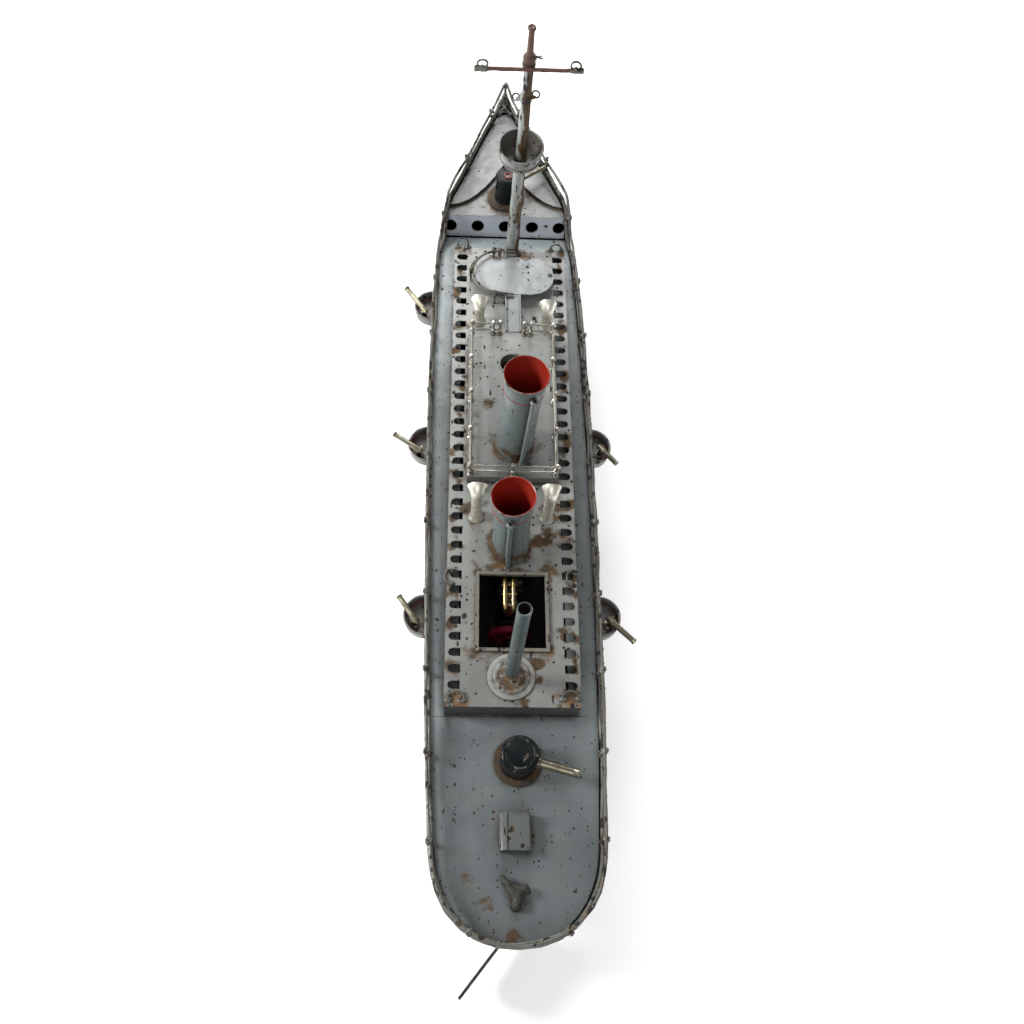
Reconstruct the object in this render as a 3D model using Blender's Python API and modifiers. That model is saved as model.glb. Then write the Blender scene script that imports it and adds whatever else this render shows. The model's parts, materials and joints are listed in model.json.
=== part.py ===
"""A tinplate toy battleship of the live-steam kind, as an assembly of separate pieces.

The ship's own frame: X to starboard, Y to the bow, Z up. The origin is on the centreline
at the foot of the flat keel. Sizes below are in millimetres, and MM turns them into metres.
The superstructure lifts off the hull over a spirit-fired boiler and a one-cylinder
oscillating engine, which drives the propeller through a straight shaft.
"""

import math

import bmesh
import bpy
from mathutils import Matrix, Vector

MM = 0.001
GAP = 0.35  # clearance between neighbouring pieces
SKIN = 1.2  # hull plate
SHEET = 0.9  # deck and fitting plate

# Hull
STERN_Y = -320.0
STERN_ROUND_Y = -262.0  # where the rounded stern begins
STERN_FULLNESS = 2.3  # 2 would be an ellipse
BOW_Y = 300.0
HULL_MIDDLE = (BOW_Y + STERN_Y) / 2
INNER_SCALE = 1 - 2 * 1.4 * SKIN / (BOW_Y - STERN_Y)  # the inner skin is this much shorter
SIDE_LINE = (  # (y, half beam) of the deck edge from the stern round to the bow
    (STERN_ROUND_Y, 49.6),
    (-215.0, 51.6),
    (-170.0, 52.9),
    (-60.0, 54.4),
    (40.0, 54.4),
    (110.0, 52.8),
    (150.0, 50.8),
    (172.0, 48.4),
    (186.0, 45.2),
    (200.0, 39.8),
    (212.0, 34.8),
    (236.0, 25.6),
    (262.0, 15.9),
    (282.0, 7.6),
    (BOW_Y - 3.0, 3.0),
    (BOW_Y, 0.0),
)
BOTTOM_PLATE = 1.25  # thickness of the flat plate the hull stands on
BOTTOM_PLATE_Y = (-140.0, 120.0)
BOTTOM_PLATE_HALF_WIDTH = 28.0
HOLD_Z = BOTTOM_PLATE + GAP + SKIN + GAP  # what stands in the hull stands on this
MAIN_DECK_Z = 64.0
GUN_DECK_Z = 82.0
FORECASTLE_Z = 84.8
BULWARK = 2.0  # the hull edge stands this far above the deck
RAMP_Y = (164.0, 186.0)  # the hull edge climbs to the forecastle here

# Superstructure
HOUSE_HALF_WIDTH = 40.0
HOUSE_AFT_Y = -193.0
HOUSE_FORE_Y = 149.0
HOUSE_TOP_Z = 82.0
SLOT_PITCH = 10.0
SLOT_COUNT = 33
SLOT_FIRST_Y = -180.0
SLOT_INNER_X = 30.9
SLOT_OUTER_X = 38.1
SLOT_WIDTH = 5.0
HATCH_HALF_WIDTH = 20.0
HATCH_Y = (-157.5, -110.5)

SEAT_TURN = math.radians(-0.66)  # the loose superstructure sits a little askew on the hull
SEAT_SHIFT = (0.3, 0.0)

# Fittings on the superstructure
BOAT_DECK_Z = 90.0
BOAT_DECK_X = (-28.6, 29.4)
BOAT_DECK_Y = (-46.0, 68.0)
BOAT_DECK_HOLE = (0.5, 41.5)
BOAT_DECK_HOLE_RADIUS = 7.8
RAIL_HEIGHTS = (4.2, 11.0)  # the two wires above the boat deck
BRIDGE_CENTRE = (2.8, 118.0)
BRIDGE_HALF_LENGTH = 28.2
BRIDGE_HALF_WIDTH = 16.8
CATWALK_X = (-3.9, 7.0)
FRONT_FUNNEL = (0.9, -22.4)
FRONT_FUNNEL_LEAN = math.radians(2.0)  # towards starboard
FRONT_FUNNEL_RADIUS = 12.2
FRONT_FUNNEL_TOP_Z = 169.0
AFT_FUNNEL = (-0.9, -91.4)
AFT_FUNNEL_LEAN = math.radians(-2.0)
AFT_FUNNEL_RADIUS = 11.5
AFT_FUNNEL_TOP_Z = 149.0
FUNNEL_RIM_FLARE = 1.5
FUNNEL_WAIST = 0.6  # the tube is this much narrower under the collar
STEAM_PIPE_RADIUS = 1.6
FOREMAST = (0.9, 143.2)
FOREMAST_RAKE = math.radians(6.0)
FOREMAST_LEAN = math.radians(0.4)  # towards port
FOREMAST_LENGTH = 184.0
TOPMAST_LENGTH = 22.5
FIGHTING_TOP_FOOT = 102.5  # distance up the mast
FIGHTING_TOP_HEIGHT = 10.5
YARD_UP_MAST = 178.4
YARD_HALF_LENGTH = 30.5
YARD_TILT = 0.8  # the starboard end is this much higher than the middle
AFT_MAST = (-1.0, -175.0)
AFT_MAST_TOP_Z = 189.0
VENTILATORS = {  # name: (x, y, height of the mouth's centre above the superstructure deck)
    "ventilator_fore_port": (-22.0, 82.6, 17.5),
    "ventilator_fore_starboard": (24.5, 79.6, 18.5),
    "ventilator_aft_port": (-22.6, -70.5, 31.5),
    "ventilator_aft_starboard": (22.2, -70.5, 31.5),
}
VENTILATOR_STEM_RADIUS = 3.9
VENTILATOR_MOUTH_RADIUS = 6.8
VENTILATOR_REACH = 4.8  # from the stem's axis forward to the mouth

# Turrets and guns
BOW_TURRET = (-0.2, 197.5)
BOW_TURRET_RADIUS = 8.3
BOW_TURRET_HEIGHT = 22.0
BOW_BARREL_BEARING = math.radians(53.6)  # clockwise from the bow, seen from above
BOW_BARREL_REACH = 40.0
BOW_BARREL_RADIUS = 1.5
BOW_BARREL_HEIGHT = 9.5  # above the house's foot
AFT_TURRET = (1.5, -220.4)
AFT_TURRET_RADIUS = 10.6
AFT_TURRET_HEIGHT = 18.5
AFT_BARREL_BEARING = math.radians(106.5)
AFT_BARREL_REACH = 35.0
AFT_BARREL_RADIUS = 2.8
AFT_BARREL_HEIGHT = 11.0
SPONSON_RADIUS = 13.4
SPONSON_Z = (52.5, 60.5)
SPONSONS = {  # name: (side, distance out, y, y of the gun's post, the gun's bearing in degrees and its reach)
    "port_fore": (-1, -0.5, 112.5, 106.0, -35.0, 24.0),
    "port_mid": (-1, -0.5, -4.5, -10.5, -56.0, 20.5),
    "port_aft": (-1, 0.0, -128.0, -132.0, -34.0, 18.5),
    "starboard_mid": (1, 1.4, -4.5, -7.2, 140.0, 16.0),
    "starboard_aft": (1, 1.0, -128.5, -131.8, 135.0, 20.5),
}
GUN_POST_OUT = 6.3  # gun post's distance outside the tub's middle
GUN_RADIUS = 1.6

# Steering
RUDDER_STOCK = (0.0, -305.6)
RUDDER_TURN = math.radians(-40.1)  # from straight aft, towards port
RUDDER_LENGTH = 49.0
RUDDER_Z = (8.0, 46.0)
STEERING_POST = (-1.5, -298.5)
WING_OUTLINE = (  # the flat butterfly handle, from its post: (starboard, forward)
    (3.0, -2.4), (-3.2, -1.8), (-5.2, 2.4), (-6.4, 7.0), (-10.2, 12.6), (-9.0, 15.2), (-5.6, 13.6),
    (-2.0, 9.2), (1.0, 12.4), (5.4, 12.8), (6.2, 9.6), (4.0, 5.0),
)
TILLER_LENGTH = 7.0
TILLER_Z = 56.5

# Engine room
SHAFT_Z = 22.0
CRANK_THROW = 6.0
CRANK_Y = -119.4
CYLINDER_PIVOT_Z = 50.0
FLYWHEEL_Y = -127.5
FLYWHEEL_RADIUS = 14.0
PROPELLER_Y = -273.0
PROPELLER_RADIUS = 13.0
BOILER_RADIUS = 19.0
BOILER_Z = 35.0
BOILER_Y = (-86.0, 96.0)

# Colour, roughness and metallic value of each finish
FINISHES = {
    "grey_paint": ((0.36, 0.41, 0.46), 0.45, 0.0),
    "pale_paint": ((0.50, 0.55, 0.60), 0.42, 0.0),
    "hull_paint": ((0.28, 0.32, 0.36), 0.5, 0.0),
    "black_paint": ((0.02, 0.025, 0.03), 0.35, 0.0),
    "red_paint": ((0.35, 0.03, 0.03), 0.45, 0.0),
    "mast_paint": ((0.30, 0.10, 0.08), 0.55, 0.0),
    "wire_paint": ((0.33, 0.35, 0.36), 0.5, 0.2),
    "nickel": ((0.62, 0.58, 0.48), 0.28, 1.0),
    "brass": ((0.45, 0.36, 0.18), 0.38, 1.0),
    "iron": ((0.16, 0.15, 0.15), 0.55, 0.9),
    "copper": ((0.45, 0.22, 0.12), 0.45, 1.0),
}


# ---------------------------------------------------------------- scene and helpers


def clear_scene():
    for obj in list(bpy.data.objects):
        bpy.data.objects.remove(obj, do_unlink=True)


def new_collection(name):
    collection = bpy.data.collections.new(name)
    bpy.context.scene.collection.children.link(collection)
    return collection


def finish_material(name):
    if name in bpy.data.materials:
        return bpy.data.materials[name]
    colour, roughness, metallic = FINISHES[name]
    material = bpy.data.materials.new(name)
    material.use_nodes = True
    shader = material.node_tree.nodes["Principled BSDF"]
    shader.inputs["Base Color"].default_value = (*colour, 1.0)
    shader.inputs["Roughness"].default_value = roughness
    shader.inputs["Metallic"].default_value = metallic
    return material


def point(x, y, z):
    return Vector((x, y, z)) * MM


def add_object(name, data, finish):
    obj = bpy.data.objects.new(name, data)
    PARTS.objects.link(obj)
    data.materials.append(finish_material(finish))
    return obj


def add_bmesh(name, bm, finish):
    bmesh.ops.recalc_face_normals(bm, faces=bm.faces)
    mesh = bpy.data.meshes.new(name)
    bm.to_mesh(mesh)
    bm.free()
    mesh.shade_smooth()
    mesh.set_sharp_from_angle(angle=math.radians(35))
    return add_object(name, mesh, finish)


def box(name, low, high, finish):
    """An axis-aligned box between two corners."""
    low = point(*low)
    high = point(*high)
    bm = bmesh.new()
    bmesh.ops.create_cube(bm, size=1.0)
    bmesh.ops.scale(bm, vec=high - low, verts=bm.verts)
    bmesh.ops.translate(bm, vec=(low + high) / 2, verts=bm.verts)
    return add_bmesh(name, bm, finish)


def rod(name, start, end, radius, finish, sides=12, end_radius=None):
    """A round bar, or a cone, from one point to another."""
    start = point(*start)
    end = point(*end)
    along = end - start
    bm = bmesh.new()
    bmesh.ops.create_cone(
        bm,
        cap_ends=True,
        segments=sides,
        radius1=radius * MM,
        radius2=(radius if end_radius is None else end_radius) * MM,
        depth=along.length,
    )
    turn = Vector((0, 0, 1)).rotation_difference(along).to_matrix().to_4x4()
    bmesh.ops.transform(bm, matrix=Matrix.Translation((start + end) / 2) @ turn, verts=bm.verts)
    return add_bmesh(name, bm, finish)


def turned(name, profile, base, finish, steps=20, closed=True):
    """A profile of (radius, height) turned about the vertical through base.

    A closed profile makes a ring. An open one starts and ends on the axis.
    It runs down its outer side.
    """
    mesh = bpy.data.meshes.new(name)
    count = len(profile)
    edges = [(i, i + 1) for i in range(count - 1)]
    if closed:
        edges.append((count - 1, 0))
    mesh.from_pydata([(r * MM, 0, z * MM) for r, z in profile], edges, [])
    obj = add_object(name, mesh, finish)
    obj.location = point(*base)
    screw = obj.modifiers.new("turn", "SCREW")
    screw.axis = "Z"
    screw.steps = steps
    screw.render_steps = steps
    screw.use_merge_vertices = True
    screw.merge_threshold = 0.00001
    screw.use_smooth_shade = True
    return obj


def tube_profile(radius, wall, low, high):
    """The closed profile of a plain tube, down its outer side."""
    return [(radius, high), (radius, low), (radius - wall, low), (radius - wall, high)]


def wire(name, points, radius, finish, closed=False, resolution=1):
    """A wire along the points."""
    curve = bpy.data.curves.new(name, "CURVE")
    curve.dimensions = "3D"
    curve.bevel_depth = radius * MM
    curve.bevel_resolution = resolution
    curve.use_fill_caps = not closed
    spline = curve.splines.new("POLY")
    spline.points.add(len(points) - 1)
    for spot, place in zip(spline.points, points):
        spot.co = (*point(*place), 1.0)
    spline.use_cyclic_u = closed
    return add_object(name, curve, finish)


def plate(name, outlines, low, high, finish):
    """A flat plate between two heights. The first outline is its edge, the rest are holes."""
    curve = bpy.data.curves.new(name, "CURVE")
    curve.dimensions = "2D"
    curve.fill_mode = "BOTH"
    curve.extrude = (high - low) / 2 * MM
    for outline in outlines:
        spline = curve.splines.new("POLY")
        spline.points.add(len(outline) - 1)
        for spot, (x, y) in zip(spline.points, outline):
            spot.co = (x * MM, y * MM, 0.0, 1.0)
        spline.use_cyclic_u = True
    obj = add_object(name, curve, finish)
    obj.location = point(0, 0, (low + high) / 2)
    return obj


def as_mesh(curve_object):
    """The same piece as a welded mesh object, so that it can be cut or joined."""
    bpy.context.view_layer.update()
    graph = bpy.context.evaluated_depsgraph_get()
    mesh = bpy.data.meshes.new_from_object(curve_object.evaluated_get(graph))
    bm = bmesh.new()
    bm.from_mesh(mesh)
    bmesh.ops.remove_doubles(bm, verts=bm.verts, dist=0.000002)
    bm.to_mesh(mesh)
    bm.free()
    name = curve_object.name
    obj = bpy.data.objects.new(name, mesh)
    PARTS.objects.link(obj)
    obj.matrix_world = curve_object.matrix_world
    bpy.data.objects.remove(curve_object, do_unlink=True)
    obj.name = name
    return obj


def as_helper(obj):
    """Moves an object to the helpers, which are guides and not pieces."""
    PARTS.objects.unlink(obj)
    HELPERS.objects.link(obj)
    obj.hide_render = True
    obj.display_type = "WIRE"
    return obj


def combine(target, helper, operation):
    modifier = target.modifiers.new(helper.name, "BOOLEAN")
    modifier.operation = operation
    modifier.object = as_helper(helper)


def cut(target, *helpers):
    for helper in helpers:
        combine(target, helper, "DIFFERENCE")


def join(target, *helpers):
    for helper in helpers:
        combine(target, helper, "UNION")


def joined_meshes(name, objects, finish):
    """Several mesh objects that don't touch, as one helper mesh."""
    bm = bmesh.new()
    for obj in objects:
        copy = obj.data.copy()
        copy.transform(obj.matrix_world)
        bm.from_mesh(copy)
        bpy.data.objects.remove(obj, do_unlink=True)
    return add_bmesh(name, bm, finish)


def set_origin(obj, x, y, z):
    """Puts a mesh object's origin on its joint's axis without moving the mesh."""
    place = point(x, y, z)
    obj.data.transform(Matrix.Translation(obj.location - place))
    obj.location = place


def arc(centre, radius, start, end, steps):
    """Points on an arc, both ends included, angles in degrees."""
    angles = [math.radians(start + (end - start) * i / steps) for i in range(steps + 1)]
    return [(centre[0] + radius * math.cos(a), centre[1] + radius * math.sin(a)) for a in angles]


def circle(centre, radius, sides):
    return arc(centre, radius, 0, 360, sides)[:-1]


def rectangle(low, high):
    return [(low[0], low[1]), (high[0], low[1]), (high[0], high[1]), (low[0], high[1])]


def smooth_step(value, start, end):
    t = min(max((value - start) / (end - start), 0.0), 1.0)
    return t * t * (3 - 2 * t)


def bearing_vector(bearing):
    return math.sin(bearing), math.cos(bearing)


# ---------------------------------------------------------------- hull


def line_slope(i):
    """Slope of the side line at its i-th point."""
    before = SIDE_LINE[max(i - 1, 0)]
    after = SIDE_LINE[min(i + 1, len(SIDE_LINE) - 1)]
    return (after[1] - before[1]) / (after[0] - before[0])


def half_beam(y):
    """Half the ship's width at the deck edge."""
    if y <= STERN_ROUND_Y:
        share = min((STERN_ROUND_Y - y) / (STERN_ROUND_Y - STERN_Y), 1.0)
        return SIDE_LINE[0][1] * (1 - share**STERN_FULLNESS) ** (1 / STERN_FULLNESS)
    if y >= BOW_Y:
        return 0.0
    i = max(k for k in range(len(SIDE_LINE) - 1) if SIDE_LINE[k][0] <= y)
    (y0, b0), (y1, b1) = SIDE_LINE[i], SIDE_LINE[i + 1]
    span = y1 - y0
    t = (y - y0) / span
    m0 = line_slope(i) * span
    m1 = line_slope(i + 1) * span
    t2 = t * t
    t3 = t2 * t
    return (2 * t3 - 3 * t2 + 1) * b0 + (t3 - 2 * t2 + t) * m0 + (3 * t2 - 2 * t3) * b1 + (t3 - t2) * m1


def edge_height(y):
    """Height of the hull's top edge."""
    aft = MAIN_DECK_Z + BULWARK
    fore = FORECASTLE_Z + BULWARK
    return aft + (fore - aft) * smooth_step(y, *RAMP_Y)


def keel_height(y):
    """The bottom is flat over its plate, and rises under the counter and a little at the forefoot."""
    bottom = BOTTOM_PLATE + GAP
    if y > 0:
        return bottom + 12.0 * smooth_step(y, 262.0, 330.0)
    return bottom + 42.0 * smooth_step(-y, 218.0, 268.0) + 10.0 * smooth_step(-y, 262.0, -STERN_Y)


def hull_section(y, inset):
    """Half a section at y, as (x, z) from the keel to the top edge."""
    beam = max(half_beam(y) - inset * 1.1, 0.0)
    low = keel_height(y) + inset
    high = edge_height(y)
    fullness = 1 - smooth_step(y, 120.0, 300.0) * 0.85 - smooth_step(-y, 140.0, 240.0) * 0.6
    flat = 0.72 * fullness
    rise = (high - low) * (0.24 + 0.6 * (1 - fullness))
    side = beam * (0.975 - 0.08 * (1 - fullness))
    points = [(0.0, low), (side * flat, low)]
    steps = 3
    for i in range(1, steps + 1):
        turn = math.pi / 2 * i / steps
        across = side * (flat + (1 - flat) * math.sin(turn))
        points.append((across, low + rise * (1 - math.cos(turn))))
    points.append(((side + beam) / 2, (low + rise + high) / 2))
    points.append((beam, high))
    return points


def hull_stations():
    depth = STERN_ROUND_Y - STERN_Y
    stern = [STERN_ROUND_Y - depth * math.sin(math.radians(a)) for a in (90, 85, 79, 72, 63, 53, 42, 30, 15)]
    body = [-262, -245, -230, -215, -180, -130, -60, 0, 60, 110, 150, 164, 170, 175, 180, 186]
    bow = [198, 212, 226, 240, 256, 272, 284, 292, 297, BOW_Y]
    return [float(y) for y in stern + body + bow]


def inside_hull(y, z):
    """Room from the centreline to the plating at this height, less a clearance."""
    outer_y = HULL_MIDDLE + (y - HULL_MIDDLE) / INNER_SCALE
    points = hull_section(outer_y, SKIN)
    for (x0, z0), (x1, z1) in zip(points, points[1:]):
        if z0 <= z <= z1 and z1 > z0:
            return x0 + (x1 - x0) * (z - z0) / (z1 - z0) - GAP - 0.25
    return points[-1][0] - GAP - 0.25


def hull_shell():
    """The plated hull: an outer and an inner skin joined round the top edge."""
    stations = hull_stations()
    bm = bmesh.new()
    skins = []
    for inset, scale in ((0.0, 1.0), (SKIN, INNER_SCALE)):
        rows = []
        for y in stations:
            half = hull_section(y, inset)
            full = [(-x, z) for x, z in reversed(half[1:])] + half
            place = HULL_MIDDLE + (y - HULL_MIDDLE) * scale
            rows.append([bm.verts.new(point(x, place, z)) for x, z in full])
        skins.append(rows)
        for near, far in zip(rows, rows[1:]):
            for i in range(len(near) - 1):
                bm.faces.new((near[i], near[i + 1], far[i + 1], far[i]))
    outer, inner = skins
    for i in range(len(stations) - 1):
        for side in (0, -1):
            bm.faces.new((outer[i][side], outer[i + 1][side], inner[i + 1][side], inner[i][side]))
    bmesh.ops.remove_doubles(bm, verts=bm.verts, dist=0.00001)
    hull = add_bmesh("hull_shell", bm, "hull_paint")
    cut(
        hull,
        rod("shaft_hole", (0, -215, SHAFT_Z), (0, -268, SHAFT_Z), 3.5, "iron"),
        rod("stock_hole", (*RUDDER_STOCK, 40), (*RUDDER_STOCK, 58), 2.3, "iron"),
    )


def bottom_plate():
    """The doubling plate soldered under the flat of the bottom."""
    half = BOTTOM_PLATE_HALF_WIDTH
    box("bottom_plate", (-half, BOTTOM_PLATE_Y[0], 0), (half, BOTTOM_PLATE_Y[1], BOTTOM_PLATE), "hull_paint")


def mirrored(starboard):
    """A closed outline from its starboard half, which runs forward."""
    return starboard + [(-x, y) for x, y in reversed(starboard)]


def main_deck():
    """The main deck, open under the superstructure over the engine room."""
    low = MAIN_DECK_Z - SHEET
    round_depth = STERN_ROUND_Y - STERN_Y - 3.4
    stern = [STERN_ROUND_Y - round_depth * math.sin(math.radians(a)) for a in range(88, 0, -8)]
    sides = [STERN_ROUND_Y, -215, -120, -30, 60, 120, 150, 163, 170, 175]
    outline = mirrored([(inside_hull(y, low), y) for y in stern + sides])
    opening = rectangle((-33, HOUSE_AFT_Y + 8), (33, HOUSE_FORE_Y - 14))
    steering_hole = circle(STEERING_POST, 1.9, 10)
    plate("main_deck", [outline, opening, steering_hole], MAIN_DECK_Z - SHEET, MAIN_DECK_Z, "grey_paint")


def gun_deck():
    """One folded sheet: the deck under the bow turret and the sloping bulkhead with portholes."""
    foot_y, crease_y = 176.2, 180.2
    foot_z = MAIN_DECK_Z + GAP
    low = GUN_DECK_Z - SHEET
    edge = mirrored([(inside_hull(y, low), y) for y in (crease_y, 192, 206, 222, 244)])
    deck = as_mesh(plate("gun_deck", [edge], low, GUN_DECK_Z, "grey_paint"))
    width = inside_hull(foot_y, MAIN_DECK_Z) - 0.3
    slope = Vector((0, crease_y - foot_y, GUN_DECK_Z - foot_z))
    length = slope.length
    bm = bmesh.new()
    bmesh.ops.create_cube(bm, size=1.0)
    bmesh.ops.scale(bm, vec=point(2 * width, SHEET, length), verts=bm.verts)
    lean = math.atan2(slope.y, slope.z)
    middle = point(0, (foot_y + crease_y) / 2 + SHEET / 2, (foot_z + GUN_DECK_Z) / 2)
    turn = Matrix.Rotation(-lean, 4, "X")
    bmesh.ops.transform(bm, matrix=Matrix.Translation(middle) @ turn, verts=bm.verts)
    join(deck, add_bmesh("bulkhead", bm, "grey_paint"))
    for i in range(5):
        x = -0.6 + 20.3 * (i - 2)
        cut(deck, rod(f"porthole_{i}", (x, 168, 73.2), (x, 188, 73.2), 4.7, "grey_paint", sides=14))


def forecastle_deck():
    """The raised foredeck. Its after edge is a pointed arch round the turret."""
    corner_y, apex_y = 188.0, 232.0
    half_width = inside_hull(corner_y, FORECASTLE_Z) - 0.6
    side_ys = (196, 210, 224, 238, 254, 270, 282, 290, 294.5)
    sides = [(inside_hull(y, FORECASTLE_Z - SHEET), y) for y in side_ys]
    arch = []
    steps = 6
    for i in range(steps + 1):
        t = i / steps
        arch.append((half_width * t, corner_y + (apex_y - corner_y) * (1 - t) ** 1.9))
    half = arch[1:] + sides
    outline = mirrored(half) + [arch[0]]
    hawse = arc((0, 283.0), 3.2, 0, 180, 5)
    plate("forecastle_deck", [outline, hawse], FORECASTLE_Z - SHEET, FORECASTLE_Z, "grey_paint")


def stern_round(turn, out):
    """A point this far outside the rounded stern's edge, turned aft from the beam."""
    power = 2 / STERN_FULLNESS
    x = (SIDE_LINE[0][1] + out) * math.cos(turn) ** power
    y = STERN_ROUND_Y - (STERN_ROUND_Y - STERN_Y + out) * math.sin(turn) ** power
    return x, y


def rail_line(out, up):
    """A rail wire's points from the port bow round the stern to the starboard bow."""
    ys = (280, 260, 236, 212, 188, 180, 170, 163, 135, 95, 40, -30, -110, -180, -226, -262)
    starboard = [(1.9, 288.6, edge_height(BOW_Y) + up + 2.0)]
    starboard += [(half_beam(y) + out, y, edge_height(y) + up) for y in ys]
    for degrees in (16, 32, 48, 64, 80):
        x, y = stern_round(math.radians(degrees), out)
        starboard.append((x, y, edge_height(y) + up))
    port = [(-x, y, z) for x, y, z in reversed(starboard)]
    return starboard + port


def guard_rail():
    """Two wires all round the deck edge on stanchions that lean outwards."""
    upper_out, upper_up = 1.4, 10.0
    lower_out, lower_up = -0.6, 4.5
    foot_out, foot_up = -3.9, -BULWARK + 2 * GAP
    tip_out, tip_up = 1.9, 11.6
    wires = [
        as_mesh(wire("rail_upper", rail_line(upper_out, upper_up), 0.75, "wire_paint", resolution=0)),
        as_mesh(wire("rail_lower", rail_line(lower_out, lower_up), 0.75, "wire_paint", resolution=0)),
    ]
    bpy.context.view_layer.update()
    rail = joined_meshes("guard_rail", wires, "wire_paint")
    posts = []
    spacing = 49.0
    for i in range(12):
        y = -266.0 + spacing * i
        foot = (half_beam(y) + foot_out, y, edge_height(y) + foot_up)
        tip = (half_beam(y) + tip_out, y, edge_height(y) + tip_up)
        for side in (-1, 1):
            ends = [(side * spot[0], spot[1], spot[2]) for spot in (foot, tip)]
            posts.append(rod("post", *ends, 1.0, "wire_paint", sides=5))
    for side in (-1, 1):
        turn = math.radians(62)
        spots = []
        for out, up in ((foot_out, foot_up), (tip_out, tip_up)):
            x, y = stern_round(turn, out)
            spots.append((side * x, y, edge_height(y) + up))
        posts.append(rod("post", *spots, 1.0, "wire_paint", sides=5))
    bpy.context.view_layer.update()
    join(rail, joined_meshes("rail_posts", posts, "wire_paint"))


def jackstaff():
    knob = [(0, 22.0), (1.9, 20.6), (1.2, 18.5)]
    profile = knob + [(1.3, 12.5), (2.1, 11.0), (1.5, 9.0), (1.6, 1.5), (2.0, 0), (0, 0)]
    turned("jackstaff", profile, (0, 292.5, FORECASTLE_Z + GAP), "wire_paint", steps=8, closed=False)


def companion_hood():
    """A bent sheet over the after companionway, open towards the stern."""
    low = MAIN_DECK_Z + GAP
    hood = box("companion_hood", (-10.1, -271.0, low), (7.9, -250.0, low + 8.4), "grey_paint")
    bevel = hood.modifiers.new("fold", "BEVEL")
    bevel.width = 2.0 * MM
    bevel.segments = 2
    bevel.limit_method = "ANGLE"
    cut(hood, box("hood_hollow", (-9.2, -275.0, low - 3), (7.0, -251.0, low + 7.5), "grey_paint"))


# ---------------------------------------------------------------- sponsons and their guns


def sponson(name, side, out, y):
    """Half a round tub on the hull's side, open at the top."""
    low, high = SPONSON_Z
    hull_side = max(half_beam(y - SPONSON_RADIUS), half_beam(y), half_beam(y + SPONSON_RADIUS))
    x = side * (hull_side + out)
    profile = [
        (0, low + 1.2),
        (SPONSON_RADIUS - SHEET, low + 1.2),
        (SPONSON_RADIUS - SHEET, high),
        (SPONSON_RADIUS, high),
        (SPONSON_RADIUS, low),
        (0, low - 2.0),
    ]
    tub = turned(f"sponson_{name}", profile, (x, y, 0), "hull_paint", steps=20, closed=False)
    inner = side * (hull_side + GAP)
    far = side * (hull_side - 40)
    sides = sorted((inner, far))
    cut(tub, box(f"side_{name}", (sides[0], y - 30, low - 10), (sides[1], y + 30, high + 10), "hull_paint"))
    return hull_side + out


def sponson_gun(name, side, post_y, tub_side, bearing, reach):
    """A brass barrel on a post that turns in the tub's floor."""
    floor = SPONSON_Z[0] + 1.2
    axis = (side * (tub_side + GUN_POST_OUT), post_y)
    height = SPONSON_Z[1] + GUN_RADIUS + 0.8
    across, ahead = bearing_vector(math.radians(bearing))
    gun = rod(f"gun_{name}", (*axis, floor + GAP), (*axis, height + 1.9), 2.3, "brass", sides=12)
    tip = (axis[0] + across * reach, axis[1] + ahead * reach, height + 0.6)
    root = (axis[0] + across * 0.6, axis[1] + ahead * 0.6, height)
    join(gun, rod(f"barrel_{name}", root, tip, GUN_RADIUS, "brass", sides=12))
    set_origin(gun, *axis, floor)


# ---------------------------------------------------------------- turrets


def turret(prefix, centre, deck_z, radius, height, ring_radius, bearing, reach, barrel_radius, barrel_height):
    """A ring fixed to the deck, the turning house with its pivot, and the barrel."""
    ring = [(ring_radius, 1.4), (ring_radius, 0), (2.4, 0), (2.4, 1.4)]
    turned(f"{prefix}_turret_ring", ring, (*centre, deck_z + GAP), "iron", steps=18)
    base = deck_z + 2 * GAP + 1.4
    house_profile = [
        (0, height),
        (radius - 1.6, height),
        (radius - 0.4, height - 0.5),
        (radius, height - 1.6),
        (radius, 0),
        (0, 0),
    ]
    foot = (*centre, base)
    house = turned(f"{prefix}_turret_house", house_profile, foot, "black_paint", steps=18, closed=False)
    across, ahead = bearing_vector(bearing)
    axis_z = base + barrel_height
    start = (centre[0], centre[1], axis_z)
    socket_end = (centre[0] + across * (radius + 3), centre[1] + ahead * (radius + 3), axis_z)
    cut(house, rod(f"{prefix}_socket", start, socket_end, barrel_radius + GAP, "black_paint", sides=14))
    pivot_foot = (*centre, deck_z + GAP + 0.3)
    pivot = rod(f"{prefix}_pivot", pivot_foot, (*centre, base + 1), 1.8, "black_paint", sides=10)
    join(house, pivot)
    root = (centre[0] + across * GAP, centre[1] + ahead * GAP, axis_z)
    tip = (centre[0] + across * reach, centre[1] + ahead * reach, axis_z + 0.8)
    barrel = rod(f"{prefix}_gun_barrel", root, tip, barrel_radius, "brass", sides=14)
    set_origin(barrel, *centre, base)


# ---------------------------------------------------------------- steering and propulsion


def blade_outline():
    """The rudder blade in its own plane: (distance aft of the stock, height)."""
    low, high = RUDDER_Z
    reach = RUDDER_LENGTH
    heel = [(0, low + 3), (6, low), (reach - 13, low + 2), (reach - 4, low + 9)]
    return heel + [(reach, high - 8), (reach - 5, high - 3), (0, high)]


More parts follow.
